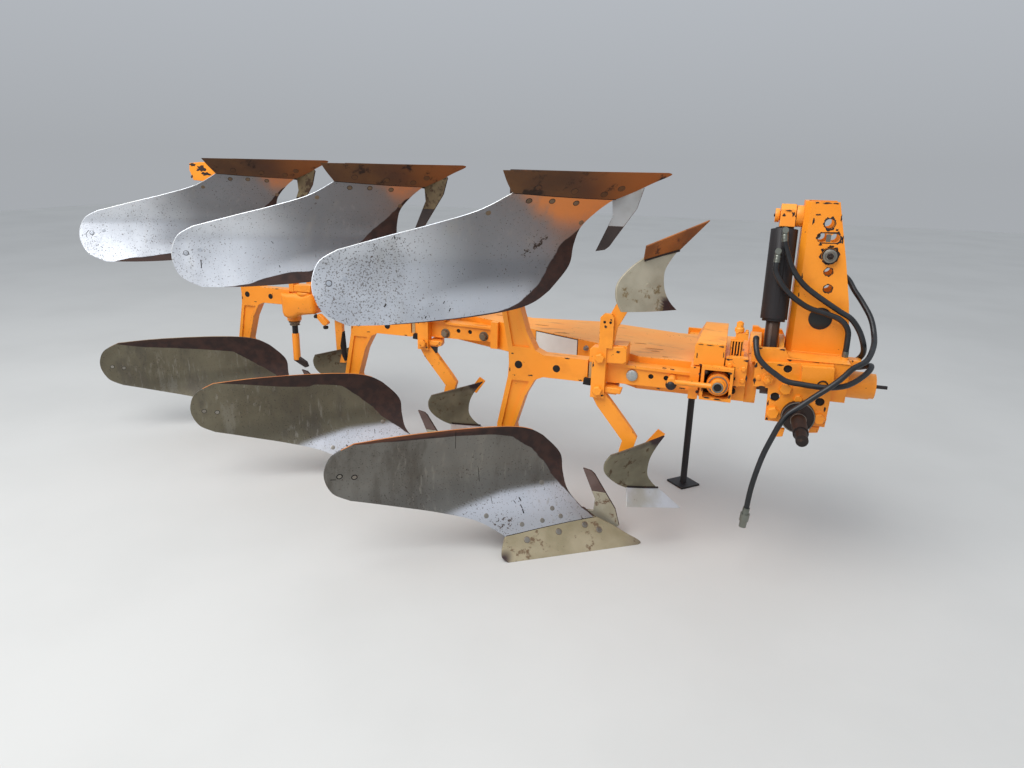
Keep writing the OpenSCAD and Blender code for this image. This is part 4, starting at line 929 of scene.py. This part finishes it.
# Head of the frame; its link's plate and its cover have faces of their own
LINK_X, LINK_Z = 211, 672
LINK_FACE, COVER_FACE = -96, -70
# Black sheet behind the link's opening: painted shade in the opening
group("link_opening_shade", [slab(rectangle(165.5, 630.5, 245.5, 721.5), -41.6, -39)], BLACK_DIRT_AND_SHADE, "frame")
solids = [ring(tip(LINK_X, y, LINK_Z), 34.5, 3.2) for y in (-48, -57, -66, -75, -84)]
group("link_spring", solids, ORANGE_CAST, "frame")
group("link_eye", [ring(tip(LINK_X, -116.5, LINK_Z), 15, 3), ring(tip(LINK_X, -90.5, LINK_Z), 29, 2.2)],
      BRIGHT_STEEL, "frame")
# Black disc in the link's eye: painted shade in the hole
group("link_eye_hole_shade", [turned([(12, -1), (12, 1.0), (9, 0.6)], tip(LINK_X, -116, LINK_Z))], BLACK_DIRT_AND_SHADE,
      "frame")
group("link_knob", [turned([(9, -16), (15, -11), (18, -3), (18, 4), (15, 11), (9, 16), (3, 18)],
                           tip(63, -104, 662), sides=24)], BLACK_PAINT, "frame")
solids = [slab(rectangle(x, 765, x + 4, 812), -43.5, -37) for x in (237, 246, 255, 264)]
solids += [slab(rectangle(234, z, 272, z + 4), -42.5, -37) for z in (761, 812)]
group("valve_fins", solids, ORANGE_CAST, "frame", bevel=0.0005)
group("valve_shade", [slab(rectangle(236, 764, 271, 813), -38.8, -37)], BLACK_DIRT_AND_SHADE, "frame")
solids = []
for x, y in rectangle(252, -30, 282, -10):
    solids += bolt(tip(x, y, 838), 9, 12, 0, axis=UP, height=0.6)
solids += [turned([(15, -1), (15, 10), (12, 14)], tip(258, -20, 842), UP),
           turned([(7, -1), (7, 5)], tip(258, -20, 870), UP, 6)]
group("valve_cap", solids, ORANGE_CAST, "frame", bevel=0.0005)
solids = []
for x, z in [(240, 738), (284, 730), (284, 690)]:
    solids += bolt(tip(x, COVER_FACE, z), 15, 0, 0, height=0.4)
group("bracket_bolts", solids, ORANGE_CAST, "frame", bevel=0.0005)
group("head_stub", [turned([(9, 0), (9, 14), (7, 16)], tip(258, -40, 646), NEAR, 16),
                    slab(rectangle(236, 690, 262, 700), COVER_FACE - 1, COVER_FACE + 0.5)], BLACK_DIRT_AND_SHADE,
                    "frame")
solids = flakes([(170, 714, 10, 8), (245, 718, 12, 7), (250, 640, 8, 14), (180, 628, 26, 5),
                 (215, 626, 20, 5), (162, 660, 5, 24)], LINK_FACE, 100)
solids += flakes([(236, 757, 18, 6), (290, 758, 14, 6), (296, 700, 5, 18), (262, 668, 12, 5),
                  (240, 716, 8, 8), (144, 798, 16, 4), (172, 798, 22, 3), (208, 797, 14, 5),
                  (218, 770, 3, 20), (135, 760, 4, 18), (150, 730, 12, 5)], COVER_FACE, 106)
group("head_wear", solids, RUST_CHIP, "frame")

# Beam: its near face starts at BEAM_START and runs along BEAM_RUN, both in millimetres
BEAM_START, BEAM_RUN, BEAM_TOP = (-227, 115.7), (-0.9191, 0.3939), 722.2
BEAM_OUT = (-BEAM_RUN[1], BEAM_RUN[0], 0)


def beside_beam(s, out):
    """A place on the level: s from the front end of the beam's near face, out from that face."""
    return [BEAM_START[k] + BEAM_RUN[k] * s + BEAM_OUT[k] * out for k in range(2)]


def top_flake(x, y, long, wide, seed):
    """A patch of bare metal on top of the beam."""
    outline = patch(x, y, long, wide, lambda a: 0.5 + 0.4 * ragged(seed * 3.3, a, 1.4))
    return slab(outline, BEAM_TOP - 0.5, BEAM_TOP + 0.5, "xy")


def face_slab(corners, low, high):
    """A plate on the beam's near face, with corners as (along, height)."""
    points = [tip(*beside_beam(s, out), z) for out in (low, high) for s, z in corners]
    return points, flip(skin(2, len(corners)))


# Bare streaks on top of the beam, by place near its front and by (along, inwards) behind
solids = [top_flake(*spot, k) for k, spot in enumerate([
    (-150, 140, 60, 5), (-80, 170, 44, 6), (-20, 110, 60, 5), (-14, 76, 30, 8), (26, 14, 24, 9)])]
solids += [top_flake(*beside_beam(s, -off), 50, 9, 20 + k) for k, (s, off) in enumerate([
    (190, 30), (330, 76), (560, 100), (820, 60), (1050, 40)])]
group("beam_wear", solids, SCRATCH, "frame")
group("name_plate_edge", [face_slab(rectangle(90, 630, 293, 719), -0.5, 0.8)], BLACK_DIRT_AND_SHADE, "frame")
group("name_plate", [face_slab(rectangle(93, 633, 290, 716), -0.5, 1.5)], WHITE_PLATE, "frame", bevel=0.0004)
group("beam_bolt", bolt(tip(*beside_beam(50, 0), 694), 15, 20, 8, axis=BEAM_OUT), ZINC_BOLT, "frame",
      bevel=0.0005)

# Arms and stems
solids, dark, blocks, clamps = [], [], [], []
for i in range(3):
    dx = SKIM_AHEAD[i]
    if i < 2:
        for x, z in [(-178, 727), (-180, 612)]:
            solids += bolt(tip(x + dx, STRIP_FACE, z, i), 30, height=0.5)
        # Small black discs at the strip's small holes: painted shade
        dark += [turned([(4.5, 0), (4.5, 0.6)], tip(x + dx, STRIP_FACE, 851, i), sides=16)
                 for x in (-170, -150)]
        clamps.append(slab([(-216 + dx, 708), (-216 + dx, 752), (-204 + dx, 762), (-150 + dx, 768),
                            (-104 + dx, 770), (-92 + dx, 760), (-90 + dx, 722), (-100 + dx, 712)], -96, -63,
                            i=i))
        clamps.append(slab([(-158 + dx, 605), (-104 + dx, 603), (-100 + dx, 622), (-158 + dx, 624)],
                           -92, -63, i=i))
        blocks.append(slab(rectangle(-223, 637, -208, 694), -58, -44, i=i))
        dark.append(slab([(-236 + dx, 622), (-210 + dx, 620), (-208 + dx, 640), (-234 + dx, 643)],
                         -84, -63, i=i))
    else:
        for z in (640, 606):
            solids += bolt(tip(-30 + dx, STRIP_FACE, z, i), 26, height=0.5)
    # Black discs on the arms' holes, here and just below: painted shade in the holes
    for x, z, r in [(-476, 661, 14), (-337, 661, 13)]:
        dark.append(turned([(r, -1), (r, 0.8), (r - 2, 1.4)], tip(x, ARM_FACE, z, i), sides=24))
    for x in (-9, 42):
        dark.append(turned([(8.6, 0), (8.6, 2)], tip(x, ARM_FACE + 6, 669, i), sides=20))


def spoke(x, z, a, length, wide):
    """Outline of a thin bar through a middle, at angle a."""
    along, aside = Vector((math.cos(a), math.sin(a))) * length, Vector((-math.sin(a), math.cos(a))) * wide
    return [(x + v.x, z + v.y) for v in (along + aside, -along + aside, -along - aside, along - aside)]


grey = [turned([(20, -1), (20, 4), (18.5, 7), (13, 9.5), (5, 10.5)], tip(-72, ARM_FACE, 667), sides=32)]
grey += [slab(spoke(-72, 667, a, 17, 0.9), -73, -70) for a in (0.5, 1.6, 2.7)]
group("arm_dome", grey, ZINC_BOLT, "frame", bevel=0.0005)
studs = bolt(tip(-67, ARM_FACE, 654, 1), 26, 40) + bolt(tip(103, ARM_FACE, 657, 1), 26, 40)
studs += bolt(tip(-67, -12, 654, 1), 26, 40, 14, axis=FAR) + bolt(tip(-72, -12, 667), 26, 40, 14, axis=FAR)
group("arm_bolts", studs, BOLT_BROWN, "frame", bevel=0.0005)
group("stem_bolts", solids, ORANGE_CAST, "frame", bevel=0.0012)
group("arm_hole_shade_and_dark_blocks", dark, BLACK_DIRT_AND_SHADE, "frame")
group("notch_blocks", blocks, BEIGE, "frame", bevel=0.0008)
group("stem_clamps", clamps, ORANGE_CAST, "frame", bevel=0.002)
# The lower jaw of the second body's stem clamp, black as painted shade: it lies in shadow
group("lower_jaw_2_in_painted_shade", [slab([(-144, 556), (-104, 553), (-100, 600), (-118, 614), (-144, 612)], -84, -64, i=1)],
      BLACK_PAINT, "frame", bevel=0.001)
group("skim_tabs", [slab([(-22 + SKIM_AHEAD[i], 385), (22 + SKIM_AHEAD[i], 447), (48 + SKIM_AHEAD[i], 431),
                          (8 + SKIM_AHEAD[i], 372)], 36, 44, i=i) for i in range(2)], ORANGE_CAST, "frame",
      bevel=0.001)
solids = []
for i in range(3):
    dx = SKIM_AHEAD[i]
    places = [(-196 + dx, 749, -96, 12, 7), (-120 + dx, 752, -96, 14, 6), (-204 + dx, 728, -96, 6, 12),
              (-166 + dx, 836, STRIP_FACE, 10, 8), (-148 + dx, 860, STRIP_FACE, 8, 6),
              (-200 + dx, 700, STRIP_FACE, 4, 16), (-163 + dx, 596, STRIP_FACE, 8, 5)] if i < 2 else []
    places += [(-500, 700, ARM_FACE, 8, 5), (-508, 640, ARM_FACE, 5, 12), (-430, 626, ARM_FACE, 16, 4),
               (-300, 702, ARM_FACE, 18, 4), (-250, 628, ARM_FACE, 12, 4)]
    if i == 0:
        places += [(132, 722, -78, 8, 6), (150, 700, -78, 6, 12), (146, 640, -78, 8, 12),
                   (128, 668, -78, 5, 14), (33, 706, -70, 14, 4), (60, 705, -70, 12, 4),
                   (98, 640, ARM_FACE, 16, 5), (20, 630, ARM_FACE, 14, 4), (-120, 632, ARM_FACE, 10, 4)]
    solids += [flake(x, y, z, w, h, 200 + 31 * i + k, i=i) for k, (x, z, y, w, h) in enumerate(places)]
group("arm_wear", solids, RUST_CHIP, "frame")

# The last body's stems, which stand further ahead than the solids' do
solids = []
for upper in (False, True):
    solids += [slab([(38, 660), (82, 660), (80, 530), (90, 362), (44, 358), (40, 530)], -86.3, -62.4,
                    i=2, upper=upper), slab(rectangle(38, 585, 82, 660), -102.3, -86, i=2, upper=upper)]
stems = group("stem_3", solids, ORANGE_CAST, "frame", bevel=0.002)
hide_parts("skimmer_stem_3")
group("stem_3_dirt", [slab([(80, 520), (66, 450), (72, 400), (86, 372), (91, 372), (81, 520)], -86.9, -62,
                           i=2)],
      BLACK_DIRT_AND_SHADE, "frame")

# The small plate behind the last upper share, with its web, and its dirt
group("frog_end_3", [slab([(-611, 26), (-553, 20), (-462, 20), (-460, 76), (-490, 80), (-542, 106),
                           (-598, 103), (-615, 58)], -222, -208, i=2, upper=True),
                     slab([(-530, -210), (-470, -210), (-385, -128), (-405, -120)], 66, 78, "xy", i=2,
                          upper=True)],
      ORANGE_CAST, "frame", bevel=0.001)
group("frog_end_3_dirt", flakes([(-592, 34, 34, 16), (-552, 50, 56, 24), (-524, 72, 44, 18),
                                 (-604, 86, 12, 12)],
                                -222, 300, i=2, upper=True), RUST_CHIP, "frame")


# Rear casting and spindle
def pillow(outline, levels, i):
    """A casting: one outline drawn in towards its middle at each level, given as (y, inset)."""
    cx = sum(p[0] for p in outline) / len(outline)
    cz = sum(p[1] for p in outline) / len(outline)
    points = []
    for y, inset in levels:
        for x, z in outline:
            share = 1 - inset / math.hypot(x - cx, z - cz)
            points.append(tip(cx + (x - cx) * share, y, cz + (z - cz) * share, i))
    return points, flip(skin(len(levels), len(outline)))


SPINDLE = (-248, 0)
HULL = [(-270, 684), (-268, 627), (-267, 585), (-258, 566), (-236, 556), (-205, 560), (-158, 580),
        (-110, 588), (-80, 592), (-70, 612), (-80, 668), (-92, 692), (-140, 684), (-190, 690), (-230, 684)]
casting = group("casting", [
    pillow(HULL, [(-86, 26), (-83, 14), (-76, 5), (-66, 0), (30, 0), (34, 3)], 2),
    slab([(-190, 700), (-96, 700), (-92, 736), (-186, 732)], -76, -20, i=2),
    slab([(-219, 696), (-192, 696), (-192, 742), (-219, 740)], -72, -20, i=2),
    turned([(46, 0), (50, 3), (50, 12), (46, 16)], tip(-144, -34, 681, 2), UP, 32),
    turned([(33, 0), (36, 3), (36, 26), (33, 30)], tip(*SPINDLE, 532, 2), UP, 32),
], ORANGE_CAST, "frame", bevel=0.002)
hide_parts("rear_casting")
spindle = group("spindle_shaft", [turned([(15, 0), (15, 120)], tip(*SPINDLE, 440, 2), UP, 24)], BLACK_PAINT,
                "frame")
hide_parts("rear_spindle")
group("spindle_nut", [turned([(28, 0), (28, 3), (22, 3.1), (22, 8), (28, 8.1), (28, 12), (25, 16)],
                             tip(*SPINDLE, 508, 2), UP, 6),
                      turned([(30, 0), (30, 4)], tip(*SPINDLE, 524, 2), UP, 28)], BOLT_BROWN, "frame",
      bevel=0.0006)
group("spindle_sleeve", [turned([(17, 0), (18.5, 2), (18.5, 138), (16, 142)], tip(*SPINDLE, 322, 2), UP, 24)],
      ORANGE_CAST, "frame")
group("spindle_heel", [slab([(-268, 326), (-236, 340), (-192, 316), (-182, 290), (-200, 284), (-262, 316)],
                            -9, 9, i=2)], DARK_STEEL, "frame", bevel=0.003)
group("rear_lug", [slab([(-70, 592), (-56, 590), (-16, 556), (-14, 546), (-30, 536), (-44, 540), (-74, 572)],
                        -66, -40, i=2)], ORANGE_CAST, "frame", bevel=0.002)
group("rear_lug_bolts", bolt(tip(-79, -60, 580, 2), 16, 22, 0)
      + [turned([(13, 0), (13, 10), (10, 14)], tip(-32, -53, 532, 2), DOWN, 16)], BLACK_PAINT, "frame",
      bevel=0.0006)

# Looks of the nodes that stay
NODE_LOOK = {"hitch_shaft": DARK_STEEL, "top_link_pin": DARK_STEEL, "rear_spindle": DARK_STEEL,
             "cylinder_barrel": BLACK_PAINT, "stand_leg": BLACK_PAINT, "front_stud": BLACK_PAINT,
             "cylinder_rod": BLACK_ROD, "hose_coupler": GREY_FITTING, "hose_elbows": GREY_FITTING}
for name in nodes:
    if name.startswith("frog"):
        NODE_LOOK[name] = FROG
    elif name.startswith("skimmer") and not name.startswith("skimmer_stem"):
        NODE_LOOK[name] = SKIM_BOARD
    elif name not in NODE_LOOK:
        NODE_LOOK[name] = ORANGE


def dress_node(name, bevel=0.0015):
    """Gives a node its look and softly rounded edges, with the paint worn along them."""
    node = nodes[name]
    node.data.materials.clear()
    node.data.materials.append(NODE_LOOK[name])
    painted = NODE_LOOK[name] in (ORANGE, ORANGE_CAST)
    if painted:
        node.data.materials.append(ORANGE_EDGE)
    weld = node.modifiers.new("weld", "WELD")
    weld.merge_threshold = 0.00002
    edge = node.modifiers.new("edge", "BEVEL")
    edge.width, edge.segments, edge.limit_method, edge.angle_limit = bevel, 2, "ANGLE", math.radians(35)
    edge.harden_normals = False
    edge.use_clamp_overlap = True
    if painted:
        edge.material = 1


for name in nodes:
    dress_node(name)

# Floor and light
floor_mesh = bpy.data.meshes.new("floor")
floor_mesh.from_pydata([(-14, -9, 0), (14, -9, 0), (14, 16, 0), (-14, 16, 0)], [], [(0, 1, 2, 3)])
floor = bpy.data.objects.new("floor", floor_mesh)
bpy.context.scene.collection.objects.link(floor)
floor_mesh.materials.append(plain("pale studio floor", "#C9C8C4", 0.8, other="#C4C3BF", spread=1.0))

world = bpy.data.worlds.new("soft daylight")
bpy.context.scene.world = world
world.use_nodes = True
sky = world.node_tree
sky.nodes.clear()
direction = put(sky, "ShaderNodeTexCoord").outputs["Generated"]
height = put(sky, "ShaderNodeSeparateXYZ", Vector=direction).outputs[2]
rise = put(sky, "ShaderNodeMapRange", s0=height, s1=0.0, s2=0.7, s3=0.0, s4=1.0).outputs[0]
tint = put(sky, "ShaderNodeMix", {"data_type": "RGBA"}, s0=rise, s6=linear("#B9BDC2"), s7=linear("#E9F0FA"))
background = put(sky, "ShaderNodeBackground", Color=tint.outputs[2], Strength=0.80)
sky.links.new(background.outputs[0], sky.nodes.new("ShaderNodeOutputWorld").inputs[0])


def lamp(name, place, target, size, power):
    data = bpy.data.lights.new(name, "AREA")
    data.size, data.energy = size, power
    made = bpy.data.objects.new(name, data)
    bpy.context.scene.collection.objects.link(made)
    made.location = place
    made.rotation_euler = (Vector(target) - Vector(place)).to_track_quat("-Z", "Y").to_euler()


lamp("high soft light", (-1.0, -3.0, 5.0), (0, 0, 0.5), 4.0, 300)

bpy.context.scene.view_settings.view_transform = "Standard"
